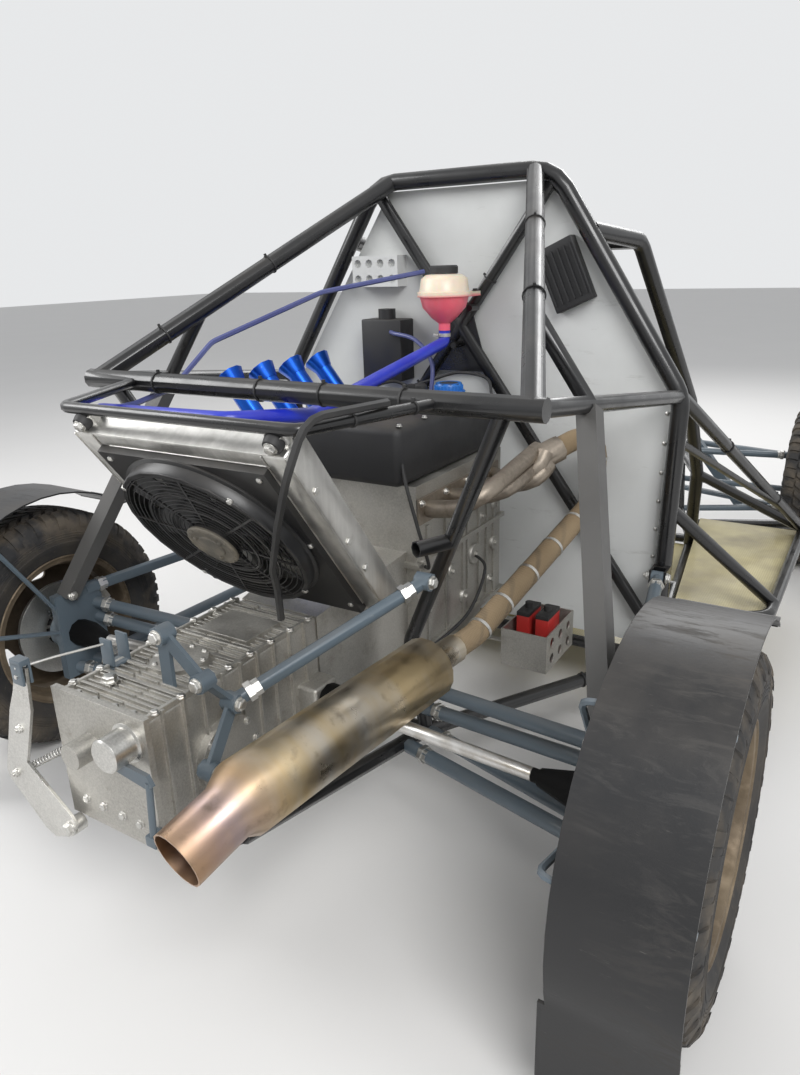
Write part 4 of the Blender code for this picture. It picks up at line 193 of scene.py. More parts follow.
MOTOR_BOLT_CIRCLE_R = 0.037

# Gearbox
BOX_TOP_Z = 0.553
BOX_REAR_Y = 1.549
BOX_RIB_COUNT = 34
BOX_RIBS_FROM_Y = 1.098
BOX_RIBS_RUN = 0.43
BOX_PAD_Y = (1.150, 1.246)
BOX_DISC_CENTRE_Y = 1.3581
BOX_DISC_SPAN_Y = (1.300, 1.416)
BOX_DISC_CLEAR_R = 0.060
BOX_FLANGE_X = 0.1010
BOX_COVER_CENTRE = (-0.1195, 1.3696, 0.398)
BOX_COVER_BOLT_R = 0.066
BOX_DISC_BOLT_R = 0.047
LEVER_OUTLINE = ((0.176, 0.596), (0.140, 0.606), (0.150, 0.520), (0.196, 0.398), (0.091, 0.320),
                 (0.080, 0.303), (0.100, 0.272), (0.150, 0.252), (0.176, 0.262), (0.265, 0.345),
                 (0.268, 0.362), (0.216, 0.505), (0.192, 0.550))
LEVER_BACK = 0.020
LEVER_FACE = 0.026
LEVER_BOLTS = ((0.158, 0.590), (0.238, 0.362), (0.196, 0.470))
LEVER_PIVOT = (0.101, 0.290)
SPRING_ENDS = ((0.236, 0.362), (0.1085, 1.525, 0.440))
REAR_DRUM = (-0.074, 0.516)
REAR_DRUM_PROFILE = ((-SINK, 0.0), (-SINK, 0.036), (0.006, 0.036), (0.008, 0.030), (0.050, 0.030),
                     (0.053, 0.027), (0.053, 0.0))
STRAP_OUTLINE = ((-0.022, 0.496), (-0.030, 0.478), (-0.135, 0.462), (-0.150, 0.470), (-0.140, 0.488))
FORK_X = (0.142, 0.172)
BRACKET_X = (0.086, 0.116)
LINKAGE_BOLTS = (
    # place, axis
    ((-0.05, 1.4467, 0.655), (0, 1, 0)),
    ((-0.135, 1.4467, 0.585), (0, 1, 0)),
    ((-0.1656, 1.3831, 0.525), (-1, 0, 0)),
    ((-0.1656, 1.4531, 0.425), (-1, 0, 0)),
    ((-0.3656, 1.0481, 0.670), (-1, 0, 0)),
)
SHIFT_ROD = ((-0.15, 1.3831, 0.525), (-0.35, 1.0481, 0.67))
ROD_NUT_PROFILE = ((-0.013, 0.0), (-0.013, 0.0185), (0.0, 0.0185), (0.0, 0.0155), (0.014, 0.0155),
                   (0.014, 0.0))

# Engine
BLOCK_SIDE_X = 0.165
COVER_TOP_Z = 0.9045
CAP_PLACE = (-0.035, 0.3581, 0.906)
CAP_PROFILE = ((0, 0.0), (0, 0.044), (0.010, 0.045), (0.012, 0.0375), (0.026, 0.0375), (0.0315, 0.034),
               (0.0315, 0.026), (0.0290, 0.024), (0.0290, 0.0))
CAP_GRIP_COUNT = 24
CAP_GRIP_R = 0.0375
CAP_GRIP_Z = (0.919, 0.931)
COVER_BOLT_X = 0.138
PORTS_Y = (0.3731, 0.4881, 0.6031, 0.7181)
PORT_Z = 0.7
FLANGE_X = -0.1713
BOSSES = (
    # y, z, radius
    (0.345, 0.610, 0.017), (0.430, 0.600, 0.013), (0.545, 0.605, 0.017), (0.660, 0.600, 0.013),
    (0.735, 0.560, 0.021), (0.350, 0.500, 0.021), (0.470, 0.505, 0.030), (0.600, 0.500, 0.021),
    (0.720, 0.440, 0.017), (0.380, 0.400, 0.017), (0.530, 0.405, 0.021),
)
BOSS_PROUD = 0.008
INTAKE_LOW_Z = 0.55
SIDE_RIBS_Y = (0.395, 0.510, 0.625)
SIDE_RIB_LOW_Z = 0.36
COIL_COUNT = 4
COIL_X = 0.02
COIL_FIRST_Y = 0.4131
COIL_PITCH = 0.098
COIL_PROFILE = ((0, 0.0), (0, 0.024), (0.006, 0.024), (0.008, 0.017), (0.030, 0.016), (0.034, 0.012),
                (0.034, 0.0))
WIRE_R = 0.0042
WIRES = (
    ((-0.150, 0.330, 0.900), (-0.120, 0.300, 0.945), (-0.030, 0.290, 0.955), (0.060, 0.280, 0.930),
     (0.160, 0.246, 0.900)),
    ((0.058, 0.413, 0.930), (0.095, 0.440, 0.945), (0.100, 0.560, 0.940), (0.080, 0.690, 0.935),
     (0.058, 0.707, 0.930)),
    ((-0.166, 0.735, 0.560), (-0.200, 0.770, 0.580), (-0.190, 0.800, 0.680), (-0.150, 0.790, 0.800),
     (-0.120, 0.760, 0.905)),
    ((-0.166, 0.470, 0.505), (-0.215, 0.500, 0.480), (-0.220, 0.600, 0.400), (-0.185, 0.700, 0.350),
     (-0.166, 0.740, 0.345)),
)
VENT_BRANCH = ((0.215, 0.2440, 1.060), (0.188, 0.2781, 1.056), (0.103, 0.2981, 1.041), (0.040, 0.3181, 0.985),
               (0.030, 0.3400, 0.900))
VENT_BRANCH_R = 0.006

# Cells in the tray, bottle, exhaust and firewall
CELLS_X = (-0.3522, -0.2978)
CELL_Y = (0.3498, 0.4364)
CELL_Z = (0.225, 0.336)
CELL_HALF = 0.0178
CELL_LIP = 0.0004
CELL_CAP_Z = (0.334, 0.3455)
CELL_CAP_PROFILE = ((0, 0.0), (0, 0.0105), (0.0165, 0.0105), (0.018, 0.008), (0.018, 0.0))
BOTTLE_X = -0.01
BOTTLE_Y = 0.3331
BOTTLE_LUG_REACH = 0.049
BOTTLE_CAP_PROFILE = ((-0.012, 0.0), (-0.012, 0.037), (0.004, 0.0375), (0.0085, 0.034), (0.0085, 0.0))
CLAMP_R = 0.0162
CLAMP_W = 0.009
TANK_PORT = (0.2325, 1.1809, 0.8769)
PIPE_RUN = ((-0.425, 0.3381, 0.628), (-0.3531, 0.8372, 0.467))
PIPE_DROP = (-0.425, 0.2701)
PIPE_TIE_SHARES = (0.12, 0.34, 0.56, 0.78, 0.96)
PIPE_TIES_Z = (0.69, 0.75)
PIPE_TIE_R = 0.0272
PIPE_TIE_W = 0.0075
TIED_TUBES = (
    # start, end, radius, shares along it
    ((0.575, 1.0191, 1.008), (-0.575, 1.0191, 1.008), 0.0225, (0.20, 0.46, 0.60, 0.76)),
    ((-0.2159, 0.2273, 1.4528), (-0.55, 1.0191, 1.008), 0.0225, (0.30, 0.62)),
    ((0.2159, 0.2273, 1.4528), (0.55, 1.0191, 1.008), 0.0225, (0.45, 0.80)),
    ((-0.262, 0.2181, 1.4355), (0.6, 0.2181, 0.25), 0.0175, (0.20, 0.45)),
    ((-0.61, 0.2068, 0.913), (-0.86, -0.7819, 0.3), 0.0175, (0.30, 0.70)),
    ((-0.6, 0.2181, 0.185), (-0.225, 0.8381, 0.185), 0.0175, (0.35,)),
    ((-0.285, 1.3147, 1.0061), (-0.37, 1.0191, 1.008), 0.011, (0.35, 0.80)),
)
PANEL_RIVET_ROWS = 9
PANEL_RIVETS_FROM_Z = 0.24
PANEL_RIVET_PITCH = 0.078
PANEL_RIVET_R = 0.0055
PANEL_FACE_Y = 0.1960
PANEL_EDGE_X = 0.565
PANEL_LOW_Z = 0.185
PANEL_LEAN_SHARE = 0.0205


# Finishes

class Finish:
    """A Principled material whose detail is worked out in the piece's own space."""

    def __init__(self, name, colour, roughness, metallic=0.0, coat=0.0, **fixed):
        self.material = bpy.data.materials.new(name)
        self.material.use_nodes = True
        self.nodes = self.material.node_tree.nodes
        self.links = self.material.node_tree.links
        self.shader = self.nodes["Principled BSDF"]
        self.shader.inputs["Base Color"].default_value = (*colour, 1)
        self.shader.inputs["Roughness"].default_value = roughness
        self.shader.inputs["Metallic"].default_value = metallic
        self.shader.inputs["Coat Weight"].default_value = coat
        self.shader.inputs["Coat Roughness"].default_value = 0.12
        for socket, value in fixed.items():
            self.shader.inputs[socket.replace("_", " ")].default_value = value
        texture_space = self.nodes.new("ShaderNodeTexCoord")
        self.place = texture_space.outputs["Object"]
        self.facing = texture_space.outputs["Normal"]
        self.colour = colour
        self.roughness = roughness
        self.normal = None

    def put(self, socket, value):
        """Links a socket, or sets a number or colour on it."""
        if isinstance(value, bpy.types.NodeSocket):
            self.links.new(value, socket)
        elif isinstance(value, tuple) and len(value) == 3 and len(socket.default_value) == 4:
            socket.default_value = (*value, 1)
        else:
            socket.default_value = value

    def new(self, kind, output=0, inputs=(), **settings):
        node = self.nodes.new("ShaderNode" + kind)
        for name, value in settings.items():
            setattr(node, name, value)
        for name, value in dict(inputs).items():
            self.put(node.inputs[name], value)
        return node.outputs[output]

    def stretched(self, scale):
        return self.new("Mapping", inputs={"Vector": self.place, "Scale": scale})

    def noise(self, scale, detail=4.0, stretch=None, roughness=0.55, distortion=0.0):
        place = self.stretched(stretch) if stretch else self.place
        return self.new("TexNoise", inputs={"Vector": place, "Scale": scale, "Detail": detail,
                                            "Roughness": roughness, "Distortion": distortion})

    def wave(self, scale, direction="X", distortion=0.0, detail_scale=1.0):
        inputs = {"Vector": self.place, "Scale": scale, "Distortion": distortion,
                  "Detail Scale": detail_scale}
        return self.new("TexWave", 1, inputs, bands_direction=direction)

    def span(self, value, low, high, out_low=0.0, out_high=1.0):
        """Maps low to high onto the two outputs, held at the ends."""
        return self.new("MapRange", inputs={"Value": value, "From Min": low, "From Max": high,
                                            "To Min": out_low, "To Max": out_high})

    def times(self, one, two, operation="MULTIPLY"):
        node = self.nodes.new("ShaderNodeMath")
        node.operation = operation
        node.use_clamp = True
        self.put(node.inputs[0], one)
        self.put(node.inputs[1], two)
        return node.outputs[0]

    def axis(self, name):
        return self.new("SeparateXYZ", "XYZ".index(name), {"Vector": self.place})

    def upward(self, low=0.35, high=1.0):
        """How far the surface faces the sky."""
        return self.span(self.new("SeparateXYZ", 2, {"Vector": self.facing}), low, high)

    def radius(self):
        """Distance from the piece's own X axis."""
        flat = self.new("VectorMath", inputs={0: self.place, 1: (0.0, 1.0, 1.0)}, operation="MULTIPLY")
        node = self.nodes.new("ShaderNodeVectorMath")
        node.operation = "LENGTH"
        self.put(node.inputs[0], flat)
        return node.outputs["Value"]

    def tint(self, share, colour):
        node = self.nodes.new("ShaderNodeMix")
        node.data_type = "RGBA"
        self.put(node.inputs[0], share)
        self.put(node.inputs[6], self.colour)
        self.put(node.inputs[7], colour)
        self.colour = node.outputs[2]
        return self

    def dull(self, share, roughness):
        node = self.nodes.new("ShaderNodeMix")
        self.put(node.inputs[0], share)
        self.put(node.inputs[2], self.roughness)
        self.put(node.inputs[3], roughness)
        self.roughness = node.outputs[0]
        return self

    def rounded(self, radius=0.0012):
        self.normal = self.new("Bevel", inputs={"Radius": radius}, samples=4)
        return self

    def bump(self, height, distance, strength=0.6):
        inputs = {"Height": height, "Distance": distance, "Strength": strength}
        if self.normal is not None:
            inputs["Normal"] = self.normal
        self.normal = self.new("Bump", inputs=inputs)
        return self

    def dust(self, amount, colour=(0.23, 0.20, 0.165), scale=7.0):
        """Dust that lies on what faces up, in patches."""
        patch = self.span(self.noise(scale, 6.0), 0.38, 0.68)
        share = self.times(self.times(self.upward(), patch), amount)
        self.tint(share, colour)
        self.dull(self.times(share, 1.6), 0.85)
        return self

    def done(self):
        self.put(self.shader.inputs["Base Color"], self.colour)
        self.put(self.shader.inputs["Roughness"], self.roughness)
        if self.normal is not None:
            self.put(self.shader.inputs["Normal"], self.normal)
        return self.material


def paint(name, colour, roughness, coat, dust, chips, metallic=0.0):
    look = Finish(name, colour, roughness, metallic, coat)
    look.tint(look.span(look.noise(3.0), 0.3, 0.7, 0.0, 0.35), tuple(c * 1.6 + 0.002 for c in colour))
    look.tint(look.span(look.noise(55.0, 8.0, roughness=0.7), 0.66, 0.74, 0.0, chips), (0.30, 0.29, 0.27))
    look.dull(look.span(look.noise(11.0, 5.0), 0.35, 0.7), min(roughness + 0.22, 1.0))
    look.dust(dust)
    look.bump(look.noise(180.0, 2.0), 0.00025, 0.35)
    return look.done()


def raw_metal(name, colour, roughness, grain, stretch=(1, 1, 1), stain=STAIN_BROWN, stain_amount=0.25,
              depth=0.00035):
    look = Finish(name, colour, roughness, 0.95)
    look.rounded()
    look.tint(look.span(look.noise(5.0, 7.0), 0.3, 0.72), tuple(c * 0.68 for c in colour))
    bright = tuple(min(c * 1.35, 0.95) for c in colour)
    look.tint(look.span(look.noise(grain, 4.0, stretch), 0.35, 0.7, 0.0, 0.4), bright)
    look.tint(look.span(look.noise(16.0, 9.0, roughness=0.7), 0.55, 0.75, 0.0, stain_amount), stain)
    look.dull(look.span(look.noise(9.0, 6.0), 0.35, 0.7), roughness + 0.22)
    look.bump(look.noise(grain, 5.0, stretch), depth, 0.5)
    return look.done()


def make_finishes():
    made = {
        "gloss_black": paint("gloss_black", (0.0055, 0.0055, 0.006), 0.22, 0.35, 0.12, 0.05),
        "satin_black": paint("satin_black", (0.013, 0.013, 0.014), 0.45, 0.0, 0.25, 0.12),
        "link_blue": paint("link_blue", (0.082, 0.108, 0.130), 0.36, 0.15, 0.30, 0.35),
        "box_grey": paint("box_grey", (0.075, 0.073, 0.070), 0.42, 0.1, 0.35, 0.30),
        "bare_alloy": raw_metal("bare_alloy", (0.66, 0.65, 0.62), 0.30, 60.0, (1.0, 1.0, 0.08), depth=0.0001),
        "cast_alloy": raw_metal("cast_alloy", (0.50, 0.485, 0.45), 0.42, 260.0, stain_amount=0.55),
        "manifold_steel": raw_metal("manifold_steel", (0.33, 0.285, 0.235), 0.42, 90.0,
                                    stain=(0.12, 0.085, 0.055), stain_amount=0.7),
        "bolt_steel": raw_metal("bolt_steel", (0.62, 0.61, 0.58), 0.26, 300.0, depth=0.00005),
    }

    look = Finish("sheet_grey", (0.60, 0.61, 0.60), 0.45)
    look.tint(look.span(look.noise(2.2, 8.0), 0.42, 0.7, 0.0, 0.5), (0.40, 0.40, 0.385))
    look.tint(look.span(look.noise(26.0, 9.0, (0.2, 1, 1), 0.7), 0.60, 0.74, 0.0, 0.5), (0.22, 0.21, 0.19))
    look.bump(look.noise(4.0, 3.0), 0.002, 0.3)
    made["sheet_grey"] = look.done()

    look = Finish("tray_weave", (0.33, 0.27, 0.10), 0.5, coat=0.3)
    warp = look.wave(48.0, "X")
    weft = look.wave(48.0, "Y")
    weave = look.times(warp, weft, "MAXIMUM")
    look.tint(look.times(weave, 0.55), (0.60, 0.53, 0.27))
    look.tint(look.span(look.noise(4.0, 8.0), 0.45, 0.72, 0.0, 0.7), (0.17, 0.145, 0.10))
    look.dust(0.5, (0.27, 0.24, 0.19))
    look.bump(weave, 0.0006, 0.6)
    made["tray_weave"] = look.done()

    look = Finish("heated_steel", (0.52, 0.49, 0.44), 0.26, 1.0)
    heat = look.span(look.noise(3.4, 4.0, (1, 2.2, 1)), 0.38, 0.64)
    look.tint(heat, (0.47, 0.36, 0.20))
    rear = look.span(look.axis("Y"), 1.46, 1.60)
    look.tint(look.times(rear, 0.75), (0.42, 0.24, 0.13))
    hot = look.times(look.span(look.axis("Y"), 1.50, 1.56), look.span(look.axis("Y"), 1.66, 1.58))
    look.tint(look.times(hot, look.span(look.noise(6.0), 0.4, 0.7, 0.0, 0.6)), (0.16, 0.17, 0.30))
    look.tint(look.span(look.noise(30.0, 9.0), 0.58, 0.75, 0.0, 0.5), (0.16, 0.12, 0.08))
    look.dull(look.span(look.noise(14.0, 6.0), 0.35, 0.7), 0.5)
    look.bump(look.noise(120.0, 3.0, (1, 0.06, 1)), 0.0001, 0.4)
    made["steel"] = look.done()

    look = Finish("heat_wrap", (0.17, 0.115, 0.060), 0.95)
    turns = look.wave(6.6, "DIAGONAL", 0.6, detail_scale=2.0)
    look.tint(look.span(turns, 0.0, 0.14, 0.9, 0.0), (0.045, 0.032, 0.02))
    look.tint(look.span(look.noise(7.0, 6.0), 0.35, 0.7, 0.0, 0.7), (0.29, 0.215, 0.13))
    cloth = look.times(look.wave(150.0, "X", 1.0), look.wave(150.0, "Z", 1.0), "MAXIMUM")
    look.tint(look.times(cloth, 0.35), (0.36, 0.28, 0.18))
    look.bump(turns, 0.002, 0.6)
    look.bump(cloth, 0.0005, 0.6)
    made["heat_wrap"] = look.done()

    look = Finish("anodised_blue", (0.012, 0.085, 0.52), 0.28, 0.85)
    look.rounded()
    look.tint(look.span(look.noise(9.0, 5.0), 0.35, 0.7, 0.0, 0.6), (0.02, 0.15, 0.66))
    look.tint(look.span(look.noise(60.0, 8.0), 0.66, 0.76, 0.0, 0.5), (0.30, 0.34, 0.42))
    look.dull(look.span(look.noise(20.0), 0.4, 0.7), 0.42)
    made["anodised_blue"] = look.done()

    look = Finish("hose_blue", (0.012, 0.018, 0.40), 0.34, coat=0.2)
    look.tint(look.span(look.noise(8.0, 6.0), 0.35, 0.72, 0.0, 0.7), (0.020, 0.050, 0.56))
    look.dust(0.25, (0.22, 0.24, 0.36))
    look.bump(look.noise(240.0, 3.0), 0.0002, 0.5)
    made["hose_blue"] = look.done()

    look = Finish("vent_blue", (0.055, 0.065, 0.20), 0.35, coat=0.2)
    look.tint(look.span(look.noise(8.0, 6.0), 0.35, 0.72, 0.0, 0.7), (0.11, 0.13, 0.30))
    look.bump(look.noise(240.0, 3.0), 0.0002, 0.4)
    made["vent_blue"] = look.done()

    look = Finish("bottle_skin", (0.80, 0.70, 0.56), 0.32, Subsurface_Weight=0.35, Subsurface_Scale=0.03)
    level = look.span(look.axis("Z"), 1.158, 1.166)
    look.tint(look.times(1.0, level, "SUBTRACT"), (0.86, 0.16, 0.20))
    deep = look.span(look.axis("Z"), 1.16, 1.10)
    look.tint(look.times(deep, 0.5), (0.90, 0.08, 0.20))
    look.tint(look.span(look.noise(12.0, 6.0), 0.4, 0.7, 0.0, 0.25), (0.55, 0.42, 0.30))
    look.bump(look.noise(90.0, 2.0), 0.0002, 0.4)
    made["bottle_pink"] = look.done()

    look = Finish("rim_bronze", (0.13, 0.10, 0.070), 0.48, 0.7)
    look.tint(look.span(look.noise(6.0, 7.0), 0.35, 0.68), (0.24, 0.19, 0.13))
    look.tint(look.span(look.noise(22.0, 9.0, roughness=0.7), 0.52, 0.70, 0.0, 0.8), (0.30, 0.235, 0.165))
    look.dull(look.span(look.noise(18.0, 8.0), 0.35, 0.65), 0.85)
    # Painted shade: the rim is darkened inward of radius 0.178, over the dished disc that sits deep in the
    # well.
    look.tint(look.span(look.radius(), 0.178, 0.168, 0.0, 0.55), (0.055, 0.042, 0.032))
    look.bump(look.noise(130.0, 5.0), 0.0004, 0.5)
    made["rim_bronze"] = look.done()

    look = Finish("tyre_rubber", (0.017, 0.017, 0.018), 0.62)
    look.tint(look.span(look.noise(5.0, 6.0), 0.35, 0.7), (0.034, 0.032, 0.030))
    rings = look.span(look.radius(), 0.236, 0.268, 0.25, 0.85)
    look.tint(look.times(look.span(look.noise(14.0, 8.0), 0.42, 0.66), rings), (0.105, 0.085, 0.062))
    look.tint(look.span(look.noise(70.0, 9.0, roughness=0.7), 0.58, 0.72, 0.0, 0.35), (0.17, 0.14, 0.105))
    look.dull(look.noise(20.0, 6.0), 0.95)
    look.bump(look.noise(320.0, 3.0), 0.0003, 0.5)
    made["tyre_rubber"] = look.done()

    look = Finish("plastic_black", (0.012, 0.012, 0.013), 0.38)
    look.rounded()
    scuff = look.times(look.span(look.noise(24.0, 10.0, (0.3, 2.0, 1.0), 0.75, 1.5), 0.50, 0.66),
                       look.span(look.noise(3.0, 5.0), 0.35, 0.65))
    look.tint(look.times(scuff, 0.38), (0.105, 0.095, 0.083))
    scratch = look.noise(140.0, 9.0, (0.15, 1.0, 1.0), 0.7)
    look.tint(look.span(scratch, 0.64, 0.73, 0.0, 0.3), (0.20, 0.185, 0.165))
    look.dull(look.span(scuff, 0.0, 0.7), 0.75)
    look.dust(0.16)
    look.bump(look.noise(150.0, 4.0), 0.0003, 0.5)
    made["plastic_black"] = look.done()

    look = Finish("shroud_black", (0.013, 0.013, 0.014), 0.34)
    look.rounded()
    look.tint(look.span(look.noise(6.0, 6.0), 0.4, 0.7, 0.0, 0.7), (0.030, 0.029, 0.028))
    look.dust(0.22)
    look.bump(look.noise(220.0, 3.0), 0.0002, 0.4)
    made["shroud_black"] = look.done()

    look = Finish("seat_shell", (0.040, 0.040, 0.043), 0.5)
    look.tint(look.span(look.noise(7.0, 6.0), 0.35, 0.7, 0.0, 0.7), (0.075, 0.072, 0.070))
    look.dust(0.35)
    look.bump(look.noise(420.0, 3.0), 0.0005, 0.5)
    made["seat_shell"] = look.done()

    look = Finish("rubber_black", (0.016, 0.016, 0.017), 0.6)
    look.tint(look.span(look.noise(12.0, 6.0), 0.35, 0.7), (0.035, 0.034, 0.033))
    look.bump(look.noise(260.0, 3.0), 0.0003, 0.5)
    made["rubber_black"] = look.done()

    look = Finish("shaft_steel", (0.62, 0.61, 0.59), 0.30, 0.9)
    reach = look.new("Math", inputs={0: look.axis("X")}, operation="ABSOLUTE")
    ends = look.times(look.span(reach, SHAFT_BARE[0], SHAFT_BARE[0] - 0.002),
                      look.span(reach, SHAFT_BARE[1], SHAFT_BARE[1] + 0.002), "ADD")
    look.tint(look.span(look.noise(30.0, 7.0), 0.4, 0.7, 0.0, 0.6), (0.30, 0.27, 0.22))
    look.tint(ends, (0.012, 0.012, 0.012))
    look.dull(ends, 0.7)
    look.bump(look.noise(200.0, 3.0), 0.0002, 0.4)
    made["shaft_steel"] = look.done()

    look = Finish("cell_red", (0.52, 0.035, 0.030), 0.38)
    look.tint(look.span(look.noise(20.0, 6.0), 0.4, 0.7, 0.0, 0.6), (0.36, 0.03, 0.028))
    look.bump(look.noise(180.0, 3.0), 0.0002, 0.4)
    made["cell_red"] = look.done()

    look = Finish("cap_blue", (0.010, 0.13, 0.50), 0.32)
    look.tint(look.span(look.noise(14.0, 5.0), 0.35, 0.7), (0.03, 0.22, 0.66))
    look.bump(look.noise(200.0, 2.0), 0.0002, 0.4)
    made["cap_blue"] = look.done()

    look = Finish("fan_motor", (0.135, 0.125, 0.105), 0.6, 0.3)
    look.rounded()
    look.tint(look.span(look.noise(22.0, 8.0), 0.4, 0.7), (0.26, 0.23, 0.18))
    look.tint(look.span(look.noise(60.0, 8.0), 0.62, 0.74, 0.0, 0.6), (0.045, 0.04, 0.035))
    look.bump(look.noise(150.0, 4.0), 0.0006, 0.6)
    made["fan_motor"] = look.done()
    return made


# Shapes

def smooth_group():
    """Joins the frame's split corners and smooths across its shallow edges."""
    group = bpy.data.node_groups.new("smooth_faces", "GeometryNodeTree")
    group.interface.new_socket("Geometry", in_out="INPUT", socket_type="NodeSocketGeometry")
    group.interface.new_socket("Geometry", in_out="OUTPUT", socket_type="NodeSocketGeometry")
    source = group.nodes.new("NodeGroupInput")
    target = group.nodes.new("NodeGroupOutput")
    merge = group.nodes.new("GeometryNodeMergeByDistance")
    merge.inputs["Distance"].default_value = 0.00001
    soft = group.nodes.new("GeometryNodeSetShadeSmooth")
    sharp = group.nodes.new("GeometryNodeSetShadeSmooth")
    sharp.domain = "EDGE"
    sharp.inputs["Shade Smooth"].default_value = False
    angle = group.nodes.new("GeometryNodeInputMeshEdgeAngle")
    compare = group.nodes.new("FunctionNodeCompare")
    compare.inputs[1].default_value = math.radians(NODE_SHARP_DEG)
    group.links.new(angle.outputs[0], compare.inputs[0])
    group.links.new(compare.outputs[0], sharp.inputs["Selection"])
    group.links.new(source.outputs[0], merge.inputs[0])
    group.links.new(merge.outputs[0], soft.inputs[0])
    group.links.new(soft.outputs[0], sharp.inputs[0])
    group.links.new(sharp.outputs[0], target.inputs[0])
    return group


def toward(axis):
    """A turn that takes +Z to the axis."""
    return Vector(axis).to_track_quat("Z", "Y").to_matrix().to_4x4()


def smoothed(mesh, sharp_deg):
    """Shades a mesh smooth, apart from the edges sharper than the angle."""
    mesh.shade_smooth()
    mesh.set_sharp_from_angle(angle=math.radians(sharp_deg))
    return mesh


class Piece:
    """One added mesh, drawn about its origin, that rides on a body of the frame."""

    def __init__(self, name, body, finish, slot, origin=(0, 0, 0)):
        self.name = name
        self.body = body
        self.finish = finish
        self.slot = slot
        self.origin = Vector(origin)
        self.bm = bmesh.new()

    def ring(self, centre, turn, radius, sides):
        points = []
        for step in range(sides):
            angle = math.tau * step / sides
            away = turn @ Vector((math.cos(angle), math.sin(angle), 0))
            points.append(self.bm.verts.new(centre + away * radius))
        return points

    def skin(self, rings, closed=True, loop=False):
        pairs = list(zip(rings, rings[1:]))
        if loop:
            pairs.append((rings[-1], rings[0]))
        for one, two in pairs:
            count = max(len(one), len(two))
            for step in range(count):
                following = (step + 1) % count
                if len(one) == 1:
                    self.bm.faces.new((one[0], two[following], two[step]))
                elif len(two) == 1:
                    self.bm.faces.new((one[step], one[following], two[0]))
                else:
                    self.bm.faces.new((one[step], one[following], two[following], two[step]))
        if closed and not loop:
            for end in (rings[0], rings[-1]):
                if len(end) > 2:
                    self.bm.faces.new(end)

    def turned(self, place, axis, profile, sides, loop=False):
        """A form turned about an axis through place, from (distance along, radius) pairs."""
        turn = toward(axis).to_3x3()
        rings = []
        for along, radius in profile:
            centre = Vector(place) + turn @ Vector((0, 0, along))
            if radius == 0:
                rings.append([self.bm.verts.new(centre)])
            else:
                rings.append(self.ring(centre, turn, radius, sides))
        self.skin(rings, loop=loop)

    def drum(self, place, axis, radius, height, sides):
        """A plain round boss, sunk a little into what carries it."""
        self.turned(place, axis, ((-SINK, 0.0), (-SINK, radius), (height, radius), (height, 0.0)), sides)

    def bar(self, points, radius, sides=8):
        """A round bar or wire through the points."""
        points = [Vector(point) for point in points]
        rings = []
        up = None
        for index, point in enumerate(points):
            ahead = (points[min(index + 1, len(points) - 1)] - points[max(index - 1, 0)]).normalized()
            if up is None:
                up = Vector((0, 0, 1)) if abs(ahead.z) < 0.9 else Vector((1, 0, 0))
            up = (up - ahead * up.dot(ahead)).normalized()
            side = ahead.cross(up)
            rings.append([self.bm.verts.new(point + (side * math.cos(a) + up * math.sin(a)) * radius)
                          for a in (math.tau * step / sides for step in range(sides))])
        self.skin(rings)

    def hoop(self, centre, axis, radius, wire, steps=48, sides=6):
        """A wire ring."""
        profile = []
        for step in range(sides):
            angle = math.tau * step / sides
            profile.append((wire * math.sin(angle), radius + wire * math.cos(angle)))
        self.turned(centre, axis, profile, steps, loop=True)

    def band(self, centre, axis, radius, width, thick=0.0012, sides=20):
        """A flat band round a tube."""
        half = width / 2
        inner = radius - thick
        outer = radius + thick
        profile = ((-half, inner), (-half, outer), (half, outer), (half, inner))
        self.turned(centre, axis, profile, sides, loop=True)

    def block(self, low, high, matrix=Matrix.Identity(4), bevel=0.0):
        low = Vector(low)
        high = Vector(high)
        made = bmesh.ops.create_cube(self.bm, size=1.0)["verts"]
        size = high - low
        place = matrix @ Matrix.Translation((low + high) / 2) @ Matrix.Diagonal((*size, 1))
        bmesh.ops.transform(self.bm, matrix=place, verts=made)
        if bevel:
            edges = list(dict.fromkeys(edge for vert in made for edge in vert.link_edges))
            bmesh.ops.bevel(self.bm, geom=edges, offset=bevel, segments=2, profile=0.7, affect="EDGES")

    def bolt(self, place, axis, size, washer=True, nut=False):
        """A hex head on a washer; size is the thread's diameter."""
        place = Vector(place)
        axis = Vector(axis).normalized()
        base = place - axis * SINK
        thick = size * 0.18 if washer else 0.0
        if washer:
            self.turned(base, axis, [(0, size * 1.15), (thick + SINK, size * 1.15), (thick + SINK, 0)], 16)
        top = thick + SINK + size * 0.62
        head = ((0, size * 0.93), (top - size * 0.12, size * 0.93), (top, size * 0.80), (top, 0))
        self.turned(base, axis, head, 6)
        if nut:
            thread = ((0, size * 0.5), (top + size * 0.45, size * 0.5), (top + size * 0.5, 0))
            self.turned(base, axis, thread, 10)
        else:
            self.turned(base, axis, [(top - size * 0.05, size * 0.62), (top + size * 0.04, size * 0.55),
                                     (top + size * 0.04, 0)], 16)

    def plate(self, outline, y, thick):
        """A flat plate across Y, from (x, z) points."""
        rings = [[self.bm.verts.new((x, y + side, z)) for x, z in outline] for side in (0, thick)]
        self.skin(rings)

    def coil(self, start, end, radius, wire, turns):
        """A wire spring between two places."""
        start = Vector(start)
        ahead = Vector(end) - start
        turn = toward(ahead).to_3x3()
        steps = turns * 10
        points = []
        for step in range(steps + 1):
            angle = math.tau * step / 10
            away = turn @ Vector((math.cos(angle), math.sin(angle), 0)) * radius
            points.append(start + ahead * (0.12 + 0.76 * step / steps) + away)
        self.bar([start, *points, start + ahead], wire, 6)

